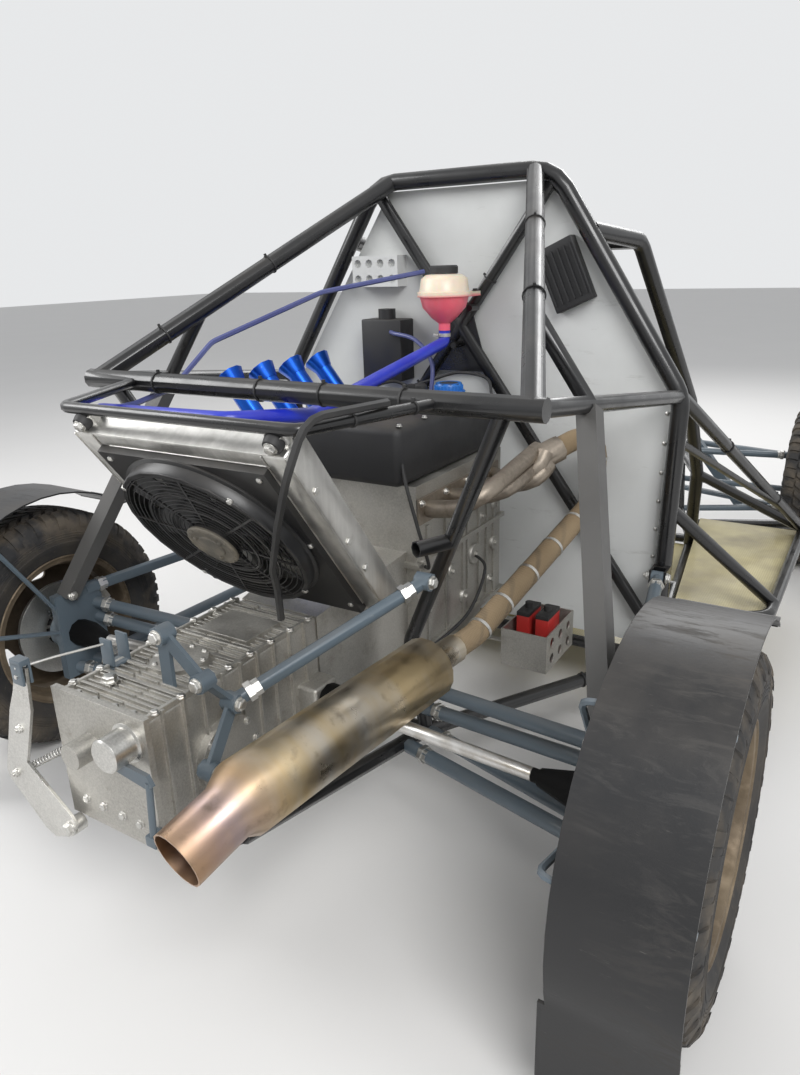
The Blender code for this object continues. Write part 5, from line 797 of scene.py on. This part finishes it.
    def rivet(self, place, axis, radius):
        base = Vector(place) - Vector(axis).normalized() * SINK
        profile = ((0, radius), (SINK + radius * 0.25, radius), (SINK + radius * 0.6, radius * 0.6),
                   (SINK + radius * 0.7, 0))
        self.turned(base, axis, profile, 10)

    def to_mesh(self):
        """Writes what was drawn to a mesh with its faces pointing out."""
        mesh = bpy.data.meshes.new(self.name)
        bmesh.ops.recalc_face_normals(self.bm, faces=self.bm.faces)
        self.bm.to_mesh(mesh)
        self.bm.free()
        return mesh

    def done(self):
        mesh = smoothed(self.to_mesh(), PIECE_SHARP_DEG)
        mesh.materials.append(self.finish)
        thing = bpy.data.objects.new(self.name, mesh)
        thing.location = self.origin
        bpy.context.scene.collection.objects.link(thing)
        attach(thing, self.body)


def about_x(turn_share):
    """A unit reach from the X axis, that share of a turn round from straight up."""
    angle = math.tau * turn_share
    return Vector((0, math.sin(angle), math.cos(angle)))


def between(start, end, share):
    start = Vector(start)
    return start + (Vector(end) - start) * share


def curve(points, steps=8):
    """A smooth run through the points."""
    points = [Vector(point) for point in points]
    padded = [points[0] * 2 - points[1], *points, points[-1] * 2 - points[-2]]
    made = []
    for index in range(len(points) - 1):
        a, b, c, d = padded[index:index + 4]
        for step in range(steps):
            t = step / steps
            made.append(0.5 * (b * 2 + (c - a) * t + (a * 2 - b * 5 + c * 4 - d) * t * t
                               + (b * 3 - a - c * 3 + d) * t ** 3))
    return made + [points[-1]]


# Frame nodes

NODE_FINISHES = {
    "fan_shroud": "shroud_black", "fan_rotor": "shroud_black", "vent_hose": "vent_blue",
    "breather_hose": "rubber_black", "exhaust_manifold": "manifold_steel", "half_shaft_l": "shaft_steel",
    "half_shaft_r": "shaft_steel",
}


def dress_nodes(made):
    group = smooth_group()
    slots = {part["node"]: part["material_slot"] for part in frame["record"]["subparts"]}
    for name, node in frame["nodes"].items():
        node.data.materials.clear()
        node.data.materials.append(made[NODE_FINISHES.get(name, slots[name])])
        modifier = node.modifiers.new("smooth_faces", "NODES")
        modifier.node_group = group


# Wheels

def tyre_profile():
    """Outer half of the carcass as (distance from the middle, radius), from bead to crown."""
    base = TYRE_R - TREAD_DEPTH
    half = [(RIM_HALF - 0.008, 0.1915), (0.0865, 0.2085), (0.0905, 0.219), (0.0975, 0.233), (0.1000, 0.2385)]
    for ring in SIDE_RINGS:
        proud = TYRE_HALF - 0.0009 - abs(ring - 0.252) * 0.06
        half += [(proud - RING_PROUD, ring - 0.0022), (proud + RING_PROUD, ring - 0.0016),
                 (proud + RING_PROUD, ring + 0.0016), (proud - RING_PROUD, ring + 0.0022)]
    half += [(0.0995, 0.280), (0.0970, 0.289), (0.0925, 0.300), (0.0870, 0.3085), (0.0780, base - 0.0035),
             (0.0500, base - 0.0008), (0.0, base)]
    return half


def lug(piece, middle, width, top, skew=0.0):
    """A tread block: its top runs through (distance, radius) pairs and spans an angle about the axle."""
    rows = []
    for x, radius in top:
        row = []
        for share, drop in ((-0.5, TREAD_DEPTH * 1.15), (-0.42, 0.0), (0.42, 0.0), (0.5, TREAD_DEPTH * 1.15)):
            angle = middle + width * share + skew * x
            reach = radius - drop
            row.append(piece.bm.verts.new((x, reach * math.sin(angle), reach * math.cos(angle))))
        rows.append(row)
    for one, two in zip(rows, rows[1:]):
        for step in range(3):
            piece.bm.faces.new((one[step], one[step + 1], two[step + 1], two[step]))
    for row, sign in ((rows[0], -1), (rows[-1], 1)):
        inner = []
        for vert in (row[1], row[2]):
            flat = Vector((0, vert.co.y, vert.co.z))
            inner.append(piece.bm.verts.new(vert.co - flat.normalized() * TREAD_DEPTH * 1.15
                                            + Vector((sign * 0.0012, 0, 0))))
        piece.bm.faces.new((row[1], row[2], inner[1], inner[0]))
        piece.bm.faces.new((row[0], row[1], inner[0]))
        piece.bm.faces.new((row[2], row[3], inner[1]))


def tyre_mesh(finish):
    piece = Piece("tyre_form", "chassis", finish, "tyre_rubber")
    half = tyre_profile()
    profile = half + [(-x, radius) for x, radius in reversed(half[:-1])]
    piece.turned((0, 0, 0), (1, 0, 0), profile, TYRE_STEPS, loop=True)
    pitch = math.tau / PITCHES
    jog = pitch * 0.5
    crown = TYRE_R
    for index in range(PITCHES):
        angle = pitch * index
        lug(piece, angle, pitch * 0.74, [(x, crown - drop) for x, drop in MIDDLE_LUG], 3.2)
        for side in (-1, 1):
            inner = [(side * x, crown - drop) for x, drop in INNER_LUG]
            lug(piece, angle + jog + side * 0.02, pitch * 0.72, inner, side * 2.2)
            deep = 0.0 if index % 2 else LONG_LUG_REACH
            outer = [(side * x, crown - drop - deep * share) for x, drop, share in OUTER_LUG]
            lug(piece, angle + side * 0.03, pitch * 0.70, outer, side * 0.6)
    return smoothed(piece.to_mesh(), TYRE_SHARP_DEG)


def rim_mesh(finish):
    """A steel rim with a well, a dished disc and long windows, all about its own X axis."""
    half = RIM_HALF
    outer = [(-half, RIM_R - 0.002), (-half + 0.002, RIM_R), (-half + 0.006, RIM_R - 0.001), (-0.083, 0.196),
             (-0.080, 0.1905), (-0.060, 0.1895), (-0.048, 0.178), (-0.012, 0.177), (0.004, 0.1885),
             (0.080, 0.1905), (0.083, 0.196), (half - 0.006, RIM_R - 0.001), (half - 0.002, RIM_R),
             (half, RIM_R - 0.002)]
    inner = [(half, RIM_R - 0.004), (half - 0.0035, RIM_R - 0.006), (0.0865, 0.1905), (0.0805, 0.1862),
             (0.044, 0.1845), (0.0385, 0.1780), (0.0420, 0.1620), (0.0360, 0.1200), (0.0290, 0.1000),
             (0.0330, 0.0800), (0.0370, 0.0620), (0.0370, HUB_R), (0.0300, HUB_R), (0.0300, 0.0620),
             (0.0260, 0.0800), (0.0220, 0.1000), (0.0290, 0.1200), (0.0345, 0.1600), (0.0300, 0.1770),
             (0.0200, 0.1840), (0.0060, 0.1840), (-0.010, 0.173), (-0.048, 0.1740), (-0.060, 0.1850),
             (-0.0805, 0.1862), (-0.0865, 0.1905), (-half + 0.0035, RIM_R - 0.006), (-half, RIM_R - 0.004)]
    piece = Piece("rim_form", "chassis", finish, "rim_bronze")
    piece.turned((0, 0, 0), (1, 0, 0), outer + inner, RIM_STEPS, loop=True)
    cutter = Piece("window_cutter", "chassis", finish, "rim_bronze")
    for index in range(WINDOW_COUNT):
        turn = Matrix.Rotation(math.tau * index / WINDOW_COUNT, 4, "X")
        half_long = WINDOW_LONG / 2 - WINDOW_HIGH / 2
        rings = []
        for x in (0.0, 0.06):
            ring = []
            for step in range(24):
                angle = math.tau * (step + 0.5) / 24
                reach = half_long if math.cos(angle) > 0 else -half_long
                point = Vector((x, reach + math.cos(angle) * WINDOW_HIGH / 2,
                                WINDOW_R + math.sin(angle) * WINDOW_HIGH / 2))
                ring.append(cutter.bm.verts.new(turn @ point))
            rings.append(ring)
        cutter.skin(rings)
    base = bpy.data.objects.new("rim_base", piece.to_mesh())
    tool = bpy.data.objects.new("rim_tool", cutter.to_mesh())
    for thing in (base, tool):
        bpy.context.scene.collection.objects.link(thing)
    cut = base.modifiers.new("cut", "BOOLEAN")
    cut.operation = "DIFFERENCE"
    cut.solver = "EXACT"
    cut.object = tool
    bpy.context.view_layer.update()
    graph = bpy.context.evaluated_depsgraph_get()
    mesh = bpy.data.meshes.new_from_object(base.evaluated_get(graph), depsgraph=graph)
    for thing in (base, tool):
        bpy.data.objects.remove(thing, do_unlink=True)
    return smoothed(mesh, RIM_SHARP_DEG)


def make_hub(made, tag, centre, axis):
    body = "wheel_" + tag
    hub = Piece(f"hub_{tag}", body, made["satin_black"], "satin_black", centre)
    hub.turned((0, 0, 0), axis, HUB_PROFILE, 48)
    hub.done()
    nuts = Piece(f"wheel_nuts_{tag}", body, made["bolt_steel"], "steel", centre)
    for index in range(NUT_COUNT):
        place = axis * NUT_X + about_x(index / NUT_COUNT) * NUT_CIRCLE_R
        nuts.bolt(place, axis, NUT_SIZE, washer=False, nut=True)
    nuts.turned(axis * AXLE_NUT_X, axis, AXLE_NUT_PROFILE, 6)
    valve = Vector((axis.x * VALVE_FOOT[0], *VALVE_FOOT[1:]))
    nuts.bar([valve, valve + Vector((axis.x * VALVE_RUN[0], *VALVE_RUN[1:]))], VALVE_R, 10)
    nuts.done()


def make_brake(made, tag, centre, axis):
    disc = Piece(f"brake_disc_{tag}", "wheel_" + tag, made["bolt_steel"], "steel", centre)
    disc.turned((0, 0, 0), axis, DISC_PROFILE, 72, loop=True)
    for index in range(DISC_PIN_COUNT):
        away = about_x(index / DISC_PIN_COUNT)
        disc.bar([axis * DISC_PIN_X + away * reach for reach in DISC_PIN_ENDS], DISC_PIN_R, 8)
    disc.done()
    carrier = "chassis" if tag[0] == "r" else "knuckle_" + tag[1]
    caliper = Piece(f"caliper_{tag}", carrier, made["cast_alloy"], "cast_alloy", centre)
    tilt = Matrix.Rotation(math.radians(CALIPER_TILT_DEG[tag[0]]), 4, "X")
    for far, near, half, inner, outer, bevel in CALIPER_BLOCKS:
        low, high = sorted((axis.x * -far, axis.x * -near))
        caliper.block((low, -half, inner), (high, half, outer), tilt, bevel)
    caliper.done()


def make_wheels(made):
    tyre = tyre_mesh(made["tyre_rubber"])
    rim = rim_mesh(made["rim_bronze"])
    for tag, centre in WHEELS.items():
        axis = Vector((1 if centre.x > 0 else -1, 0, 0))
        for form, mesh, slot in (("tyre", tyre, "tyre_rubber"), ("rim", rim, "rim_bronze")):
            thing = bpy.data.objects.new(f"{form}_{tag}_dressed", mesh.copy())
            thing.data.materials.clear()
            thing.data.materials.append(made[slot])
            thing.location = centre
            if axis.x < 0:
                thing.rotation_euler = (0, 0, math.pi)
            bpy.context.scene.collection.objects.link(thing)
            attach(thing, "wheel_" + tag)
            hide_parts(f"{form}_{tag}")
        make_hub(made, tag, centre, axis)
        make_brake(made, tag, centre, axis)


# Fastenings and trim

def link_ends(made):
    """Jam nuts and bright shanks near the links' ends, and the bolts through their eyes."""
    bright = Piece("link_fastenings", "chassis", made["bolt_steel"], "steel")
    for side in (-1, 1):
        for start, end, radius in LINKS:
            start = Vector((start[0] * side, *start[1:]))
            end = Vector((end[0] * side, *end[1:]))
            ahead = (end - start).normalized()
            nut = radius + LINK_NUT_PROUD
            shank = radius + LINK_SHANK_PROUD
            profile = ((-LINK_NUT_LONG, 0.0), (-LINK_NUT_LONG, nut), (0.0, nut), (0.0, shank),
                       (LINK_NUT_LONG, shank), (LINK_NUT_LONG, 0.0))
            bright.turned(start + ahead * LINK_NUT_FROM_CHASSIS, ahead, profile, 6)
            bright.turned(end - ahead * LINK_NUT_FROM_WHEEL, -ahead, profile, 6)
        for x, z in CLEVIS_PLACES:
            for way in (1, -1):
                place = (side * (x + way * CLEVIS_HALF), CLEVIS_Y, z)
                bright.bolt(place, (side * way, 0, 0), 0.012, nut=way < 0)
        for y, z in UPRIGHT_BOLTS:
            bright.bolt((side * UPRIGHT_BOLT_X, y + UPRIGHT_BOLT_BACK, z), (side, 0, 0), 0.010)
        bright.bolt((side * STRUT_BOLT[0], *STRUT_BOLT[1:]), (-side, 0, 0.12), 0.012, nut=True)
    bright.done()


def on_fan(radius, angle, out):
    """A place round the fan's axis, in the car's frame."""
    across = math.cos(angle) * radius
    up = math.sin(angle) * radius
    return RADIATOR_TURN @ Vector((FAN_X + across, COLLAR_Y + out, FAN_Z + up))


def radiator_trim(made):
    turn = RADIATOR_TURN
    out = (turn.to_3x3() @ Vector((0, 1, 0))).normalized()
    bright = Piece("radiator_fastenings", "chassis", made["bolt_steel"], "bare_alloy")
    for x, z in SHROUD_RIVETS:
        bright.rivet(turn @ Vector((x, SHROUD_Y, z)), out, SHROUD_RIVET_R)
    for index in range(COLLAR_BOLT_COUNT):
        angle = math.radians(COLLAR_BOLT_FROM_DEG) + math.tau * index / COLLAR_BOLT_COUNT
        bright.bolt(on_fan(COLLAR_BOLT_CIRCLE_R, angle, -0.004), out, 0.0065)
    for side in (-1, 1):
        bright.bolt(turn @ Vector((side * MOUNT_X, -0.004, MOUNT_Z)), out, 0.011)
        for z in TANK_BOLTS_Z:
            place = turn @ Vector((side * TANK_BOLT_X, -MOUNT_Z, z))
            bright.bolt(place, turn.to_3x3() @ Vector((side, 0, 0)), 0.008)
    bright.done()

    mounts = Piece("radiator_mounts", "chassis", made["rubber_black"], "satin_black")
    for side in (-1, 1):
        mounts.turned(turn @ Vector((side * MOUNT_X, -0.046, MOUNT_Z)), out, MOUNT_PROFILE, 28)
    mounts.done()

    seams = Piece("radiator_seams", "chassis", made["bare_alloy"], "bare_alloy")
    for side in (-1, 1):
        for x in (side * (RADIATOR_HALF - 0.002), side * (RADIATOR_HALF - TANK_W)):
            seams.bar([turn @ Vector((x, 0.0032, -0.003 - RADIATOR_H * step / SEAM_STEPS))
                       for step in range(SEAM_STEPS)], 0.0017, 6)
    seams.bar([turn @ Vector((-RADIATOR_HALF + TANK_W * 0.6 + 0.41 * step / 20, 0.0022, -TOP_BAND_H + 0.001))
               for step in range(21)], 0.0015, 6)
    seams.done()

    guard = Piece("fan_guard_wires", "chassis", made["shroud_black"], "plastic_black")
    centre = turn @ Vector((FAN_X, COLLAR_Y - 0.0018, FAN_Z))
    for index in range(GUARD_RINGS):
        radius = GUARD_HUB_R + (FAN_R - GUARD_HUB_R) * (index + 0.6) / GUARD_RINGS
        guard.hoop(centre, out, radius, GUARD_WIRE, 72, 5)
    guard.turned(turn @ Vector((FAN_X, SHROUD_Y, FAN_Z)), out, COLLAR_PROFILE, 96, loop=True)
    guard.done()

    motor = Piece("fan_motor_plate", "chassis", made["fan_motor"], "plastic_black")
    motor.turned(on_fan(0.0, 0.0, 0.006), out, MOTOR_PROFILE, 56)
    for index in range(MOTOR_STUD_COUNT):
        place = on_fan(MOTOR_STUD_CIRCLE_R, math.tau * index / MOTOR_STUD_COUNT, 0.0105)
        motor.bar([place, place + out * 0.0035], 0.0028, 8)
    for angle in MOTOR_BOLTS_DEG:
        motor.bolt(on_fan(MOTOR_BOLT_CIRCLE_R, math.radians(angle), 0.012), out, 0.005)
    motor.done()


def rib_spans(y):
    """Where a rib across the gearbox's top runs, clear of the pad and the round disc."""
    if BOX_PAD_Y[0] < y < BOX_PAD_Y[1]:
        return ((-0.094, -0.070), (0.070, 0.094))
    if BOX_DISC_SPAN_Y[0] < y < BOX_DISC_SPAN_Y[1]:
        reach = math.sqrt(max(BOX_DISC_CLEAR_R ** 2 - (y - BOX_DISC_CENTRE_Y) ** 2, 0.0))
        return ((-0.094, -reach - 0.004), (reach + 0.004, 0.094))
    return ((-0.094, -0.036), (-0.028, 0.028), (0.036, 0.094))


def gearbox_trim(made):
    top = BOX_TOP_Z
    ribs = Piece("gearbox_ribs", "chassis", made["cast_alloy"], "cast_alloy")
    for index in range(BOX_RIB_COUNT):
        y = BOX_RIBS_FROM_Y + BOX_RIBS_RUN * index / (BOX_RIB_COUNT - 1)
        for start, end in rib_spans(y):
            ribs.block((start, y - 0.0022, top - 0.002), (end, y + 0.0022, top + 0.0055), bevel=0.0012)
    for side in (-1, 1):
        middle = side * BOX_FLANGE_X
        low = (middle - 0.0035, 1.090, top - 0.003)
        ribs.block(low, (middle + 0.0035, 1.535, top + 0.0085), bevel=0.0015)
    ribs.done()
    bolts = Piece("gearbox_bolts", "chassis", made["bolt_steel"], "steel")
    for side in (-1, 1):
        for index in range(8):
            bolts.bolt((side * 0.1035, 1.105 + 0.0585 * index, top + 0.006), (0, 0, 1), 0.0075)
    for x in (-0.07, -0.025, 0.025, 0.07):
        bolts.bolt((x, 1.530, top + 0.002), (0, 0, 1), 0.0075)
        for z in (0.46, 0.35):
            bolts.bolt((x, BOX_REAR_Y, z), (0, 1, 0), 0.008)
    cover = Vector(BOX_COVER_CENTRE)
    disc = Vector((0, BOX_DISC_CENTRE_Y, 0.563))
    for index in range(8):
        angle = math.tau * index / 8
        away = Vector((0, math.cos(angle), math.sin(angle)))
        bolts.bolt(cover + away * BOX_COVER_BOLT_R, (-1, 0, 0), 0.007)
        angle += 0.3
        bolts.bolt(disc + Vector((math.cos(angle), math.sin(angle), 0)) * BOX_DISC_BOLT_R, (0, 0, 1), 0.005)
    bolts.bolt((0.055, 1.475, top + 0.004), (0, 0, 1), 0.014)
    bolts.done()


def gearbox_levers(made):
    """The lever plate, spring, clevis and cable at the box's rear end, and the bolts of the shift linkage."""
    rear = BOX_REAR_Y
    face = rear + LEVER_FACE
    plate = Piece("clutch_lever", "chassis", made["bolt_steel"], "steel")
    plate.plate(LEVER_OUTLINE, rear + LEVER_BACK, 0.006)
    pivot_x, pivot_z = LEVER_PIVOT
    plate.drum((pivot_x, rear, pivot_z), (0, 1, 0), 0.016, 0.021, 24)
    plate.bolt((pivot_x, face, pivot_z), (0, 1, 0), NUT_SIZE)
    for x, z in LEVER_BOLTS:
        plate.bolt((x, face, z), (0, 1, 0), 0.008, nut=True)
    (spring_x, spring_z), anchor = SPRING_ENDS
    plate.coil((spring_x, rear + 0.0235, spring_z), anchor, 0.0065, 0.0013, 16)
    plate.turned((0.1035, *anchor[1:]), (1, 0, 0), ((0, 0.0), (0, 0.008), (0.010, 0.008), (0.010, 0.0)), 16)
    plate.turned((REAR_DRUM[0], rear, REAR_DRUM[1]), (0, 1, 0), REAR_DRUM_PROFILE, 40)
    plate.bar([(0.158, rear + 0.034, 0.606), (0.132, 1.520, 0.607), (0.101, 1.420, 0.600)], 0.0024, 8)
    plate.done()

    forks = Piece("lever_forks", "chassis", made["link_blue"], "link_blue")
    left, right = FORK_X
    for y in (rear + 0.013, rear + 0.0285):
        forks.block((left, y, 0.574), (right, y + 0.005, 0.616), bevel=0.002)
    forks.block((left, rear + 0.013, 0.610), (right, rear + 0.0335, 0.622), bevel=0.003)
    left, right = BRACKET_X
    forks.block((left, 1.400, 0.552), (right, 1.405, 0.612), bevel=0.0015)
    forks.block((left, 1.400, 0.556), (right, 1.440, 0.561), bevel=0.0015)
    forks.block((left, 1.435, 0.552), (right, 1.440, 0.612), bevel=0.0015)
    forks.plate(STRAP_OUTLINE, rear + LEVER_BACK, 0.008)
    forks.drum((-0.030, rear, 0.487), (0, 1, 0), 0.010, 0.030, 16)
    forks.bar([(-0.140, rear + 0.024, 0.475), (-0.122, rear + 0.018, 0.355)], 0.006, 12)
    forks.block((-0.134, rear - 0.004, 0.340), (-0.110, rear + 0.026, 0.360), bevel=0.003)
    forks.done()

    bolts = Piece("linkage_bolts", "chassis", made["bolt_steel"], "steel")
    for place, axis in LINKAGE_BOLTS:
        bolts.bolt(place, axis, 0.012)
    ahead = (Vector(SHIFT_ROD[1]) - Vector(SHIFT_ROD[0])).normalized()
    for share in (0.10, 0.90):
        bolts.turned(between(*SHIFT_ROD, share), ahead, ROD_NUT_PROFILE, 6)
    bolts.done()


def engine_trim(made):
    caps = Piece("filler_cap", "chassis", made["cap_blue"], "anodised_blue")
    caps.turned(CAP_PLACE, (0, 0, 1), CAP_PROFILE, 48)
    for index in range(CAP_GRIP_COUNT):
        angle = math.tau * index / CAP_GRIP_COUNT
        x = CAP_PLACE[0] + math.cos(angle) * CAP_GRIP_R
        y = CAP_PLACE[1] + math.sin(angle) * CAP_GRIP_R
        caps.bar([(x, y, z) for z in CAP_GRIP_Z], 0.0018, 6)
    caps.done()

    bolts = Piece("cam_cover_bolts", "chassis", made["bolt_steel"], "steel")
    for x in (-COVER_BOLT_X, COVER_BOLT_X):
        for index in range(5):
            bolts.bolt((x, 0.335 + 0.112 * index, COVER_TOP_Z), (0, 0, 1), 0.006)
    for y in PORTS_Y:
        for side in (-1, 1):
            bolts.bolt((FLANGE_X, y + side * 0.030, PORT_Z + side * 0.020), (-1, 0, 0), 0.008, nut=True)
    bolts.done()

    castings = Piece("engine_bosses", "chassis", made["cast_alloy"], "cast_alloy")
    for y, z, radius in BOSSES:
        profile = ((-SINK, 0.0), (-SINK, radius), (0.006, radius - 0.001), (BOSS_PROUD, radius - 0.003),
                   (BOSS_PROUD, 0.0))
        for side in (-1, 1) if z < INTAKE_LOW_Z else (-1,):
            castings.turned((side * BLOCK_SIDE_X, y, z), (side, 0, 0), profile, 24)
            castings.bolt((side * (BLOCK_SIDE_X + BOSS_PROUD), y, z), (side, 0, 0), 0.008)
    for y in SIDE_RIBS_Y:
        for side, top in ((-1, 0.655), (1, 0.560)):
            inner, outer = sorted((side * (BLOCK_SIDE_X - SINK), side * (BLOCK_SIDE_X + 0.006)))
            castings.block((inner, y - 0.003, SIDE_RIB_LOW_Z), (outer, y + 0.003, top), bevel=0.0015)
    castings.done()

    for index, points in enumerate(WIRES):
        wire = Piece(f"engine_wire_{index}", "chassis", made["rubber_black"], "satin_black")
        wire.bar(curve(points), WIRE_R, 10)
        wire.done()
    vent = Piece("vent_branch", "chassis", made["vent_blue"], "hose_blue")
    vent.bar(curve(VENT_BRANCH), VENT_BRANCH_R, 12)
    vent.done()

    coils = Piece("ignition_coils", "chassis", made["rubber_black"], "satin_black")
    for index in range(COIL_COUNT):
        y = COIL_FIRST_Y + COIL_PITCH * index
        coils.turned((COIL_X, y, COVER_TOP_Z), (0, 0, 1), COIL_PROFILE, 28)
        coils.block((0.026, y - 0.010, 0.922), (0.058, y + 0.010, 0.937), bevel=0.002)
    coils.done()


def tray_trim(made):
    """Red faces and dark caps on the cells in the tray."""
    cells = Piece("tray_cells", "chassis", made["cell_red"], "cast_alloy")
    caps = Piece("tray_cell_caps", "chassis", made["rubber_black"], "satin_black")
    front, back = CELL_Y
    lip = CELL_HALF + CELL_LIP
    for x in CELLS_X:
        cells.block((x - CELL_HALF, front, CELL_Z[0]), (x + CELL_HALF, back, CELL_Z[1]), bevel=0.002)
        low = (x - lip, front - CELL_LIP, CELL_CAP_Z[0])
        caps.block(low, (x + lip, back + CELL_LIP, CELL_CAP_Z[1]), bevel=0.002)
        caps.turned((x, (front + back) / 2, 0.344), (0, 0, 1), CELL_CAP_PROFILE, 20)
    cells.done()
    caps.done()


def bottle_trim(made):
    black = Piece("bottle_lug_bolts", "chassis", made["rubber_black"], "satin_black")
    for side in (-1, 1):
        black.bolt((BOTTLE_X + side * BOTTLE_LUG_REACH, 0.248, 1.169), (0, 0, 1), 0.008)
    black.turned((BOTTLE_X, BOTTLE_Y, 1.2285), (0, 0, 1), BOTTLE_CAP_PROFILE, 40)
    black.done()
    clamps = Piece("hose_clamps", "chassis", made["bolt_steel"], "steel")
    clamps.band((BOTTLE_X, BOTTLE_Y, 1.0600), (0, 0, 1), CLAMP_R, CLAMP_W)
    clamps.block((-0.002, 0.345, 1.0560), (0.012, 0.356, 1.0640), bevel=0.0015)
    normal = RADIATOR_TURN.to_3x3() @ Vector((0, 1, 0))
    clamps.band(Vector(TANK_PORT) - normal * 0.020, normal, CLAMP_R, CLAMP_W)
    clamps.done()


def exhaust_trim(made):
    ties = Piece("wrap_ties", "chassis", made["bolt_steel"], "steel")
    ahead = Vector(PIPE_RUN[1]) - Vector(PIPE_RUN[0])
    for share in PIPE_TIE_SHARES:
        ties.band(between(*PIPE_RUN, share), ahead, PIPE_TIE_R, PIPE_TIE_W)
    for z in PIPE_TIES_Z:
        ties.band((*PIPE_DROP, z), (0, 0, 1), PIPE_TIE_R, PIPE_TIE_W)
    ties.done()


def cable_ties(made):
    ties = Piece("cable_ties", "chassis", made["rubber_black"], "satin_black")
    for start, end, radius, shares in TIED_TUBES:
        ahead = (Vector(end) - Vector(start)).normalized()
        side = ahead.cross(Vector((0, 0, 1))).normalized()
        up = side.cross(ahead)
        facing = Matrix((side, ahead, up)).transposed().to_4x4()
        for share in shares:
            place = between(start, end, share)
            ties.band(place, ahead, radius + 0.0006, 0.0038)
            turn = Matrix.Translation(place + up * (radius + 0.003)) @ facing
            ties.block((-0.003, -0.0026, -0.003), (0.003, 0.0026, 0.0035), turn)
    ties.done()


def panel_trim(made):
    rivets = Piece("panel_rivets", "chassis", made["bolt_steel"], "bare_alloy")
    for side in (-1, 1):
        for index in range(PANEL_RIVET_ROWS):
            z = PANEL_RIVETS_FROM_Z + index * PANEL_RIVET_PITCH
            x = PANEL_EDGE_X + (z - PANEL_LOW_Z) * PANEL_LEAN_SHARE
            rivets.rivet((side * x, PANEL_FACE_Y, z), (0, 1, 0), PANEL_RIVET_R)
    rivets.done()


# Scene

def make_stage():
    mesh = bpy.data.meshes.new("floor")
    corners = [(-FLOOR_HALF, -FLOOR_HALF, 0), (FLOOR_HALF, -FLOOR_HALF, 0), (FLOOR_HALF, FLOOR_HALF, 0),
               (-FLOOR_HALF, FLOOR_HALF, 0)]
    mesh.from_pydata(corners, [], [(0, 1, 2, 3)])
    floor = bpy.data.objects.new("floor", mesh)
    bpy.context.scene.collection.objects.link(floor)
    look = Finish("floor_pale", FLOOR_COLOUR, 0.8)
    look.tint(look.span(look.noise(1.2, 6.0), 0.3, 0.7, 0.0, 0.25), tuple(c * 0.93 for c in FLOOR_COLOUR))
    mesh.materials.append(look.done())

    world = bpy.data.worlds.new("studio")
    bpy.context.scene.world = world
    world.use_nodes = True
    nodes = world.node_tree.nodes
    links = world.node_tree.links
    shown = nodes["Background"]
    shown.inputs["Color"].default_value = (*BACKDROP_COLOUR, 1)
    shown.inputs["Strength"].default_value = 1.0
    lit = nodes.new("ShaderNodeBackground")
    lit.inputs["Color"].default_value = (0.95, 0.97, 1.0, 1)
    lit.inputs["Strength"].default_value = WORLD_STRENGTH
    path = nodes.new("ShaderNodeLightPath")
    seen = nodes.new("ShaderNodeMath")
    seen.operation = "MAXIMUM"
    links.new(path.outputs["Is Camera Ray"], seen.inputs[0])
    links.new(path.outputs["Is Glossy Ray"], seen.inputs[1])
    either = nodes.new("ShaderNodeMath")
    either.operation = "MAXIMUM"
    links.new(seen.outputs[0], either.inputs[0])
    links.new(path.outputs["Is Transmission Ray"], either.inputs[1])
    mix = nodes.new("ShaderNodeMixShader")
    links.new(either.outputs[0], mix.inputs[0])
    links.new(lit.outputs[0], mix.inputs[1])
    links.new(shown.outputs[0], mix.inputs[2])
    links.new(mix.outputs[0], nodes["World Output"].inputs["Surface"])

    for index, (place, aim, width, watts) in enumerate(LAMPS):
        lamp = bpy.data.lights.new(f"lamp_{index}", "AREA")
        lamp.size = width
        lamp.energy = watts
        thing = bpy.data.objects.new(f"lamp_{index}", lamp)
        thing.location = place
        thing.rotation_mode = "QUATERNION"
        thing.rotation_quaternion = (Vector(aim) - Vector(place)).to_track_quat("-Z", "Y")
        bpy.context.scene.collection.objects.link(thing)

    camera = bpy.data.objects.new("camera", bpy.data.cameras.new("camera"))
    camera.location = EYE
    camera.rotation_mode = "QUATERNION"
    camera.rotation_quaternion = Quaternion(EYE_TURN)
    camera.data.lens = LENS_MM
    camera.data.sensor_width = 36.0
    camera.data.clip_start = 0.01
    bpy.context.scene.collection.objects.link(camera)
    bpy.context.scene.camera = camera
    bpy.context.scene.view_settings.view_transform = "Standard"


def main():
    made = make_finishes()
    dress_nodes(made)
    make_wheels(made)
    link_ends(made)
    radiator_trim(made)
    gearbox_trim(made)
    gearbox_levers(made)
    engine_trim(made)
    tray_trim(made)
    bottle_trim(made)
    exhaust_trim(made)
    cable_ties(made)
    panel_trim(made)
    make_stage()
    bpy.context.view_layer.update()


main()
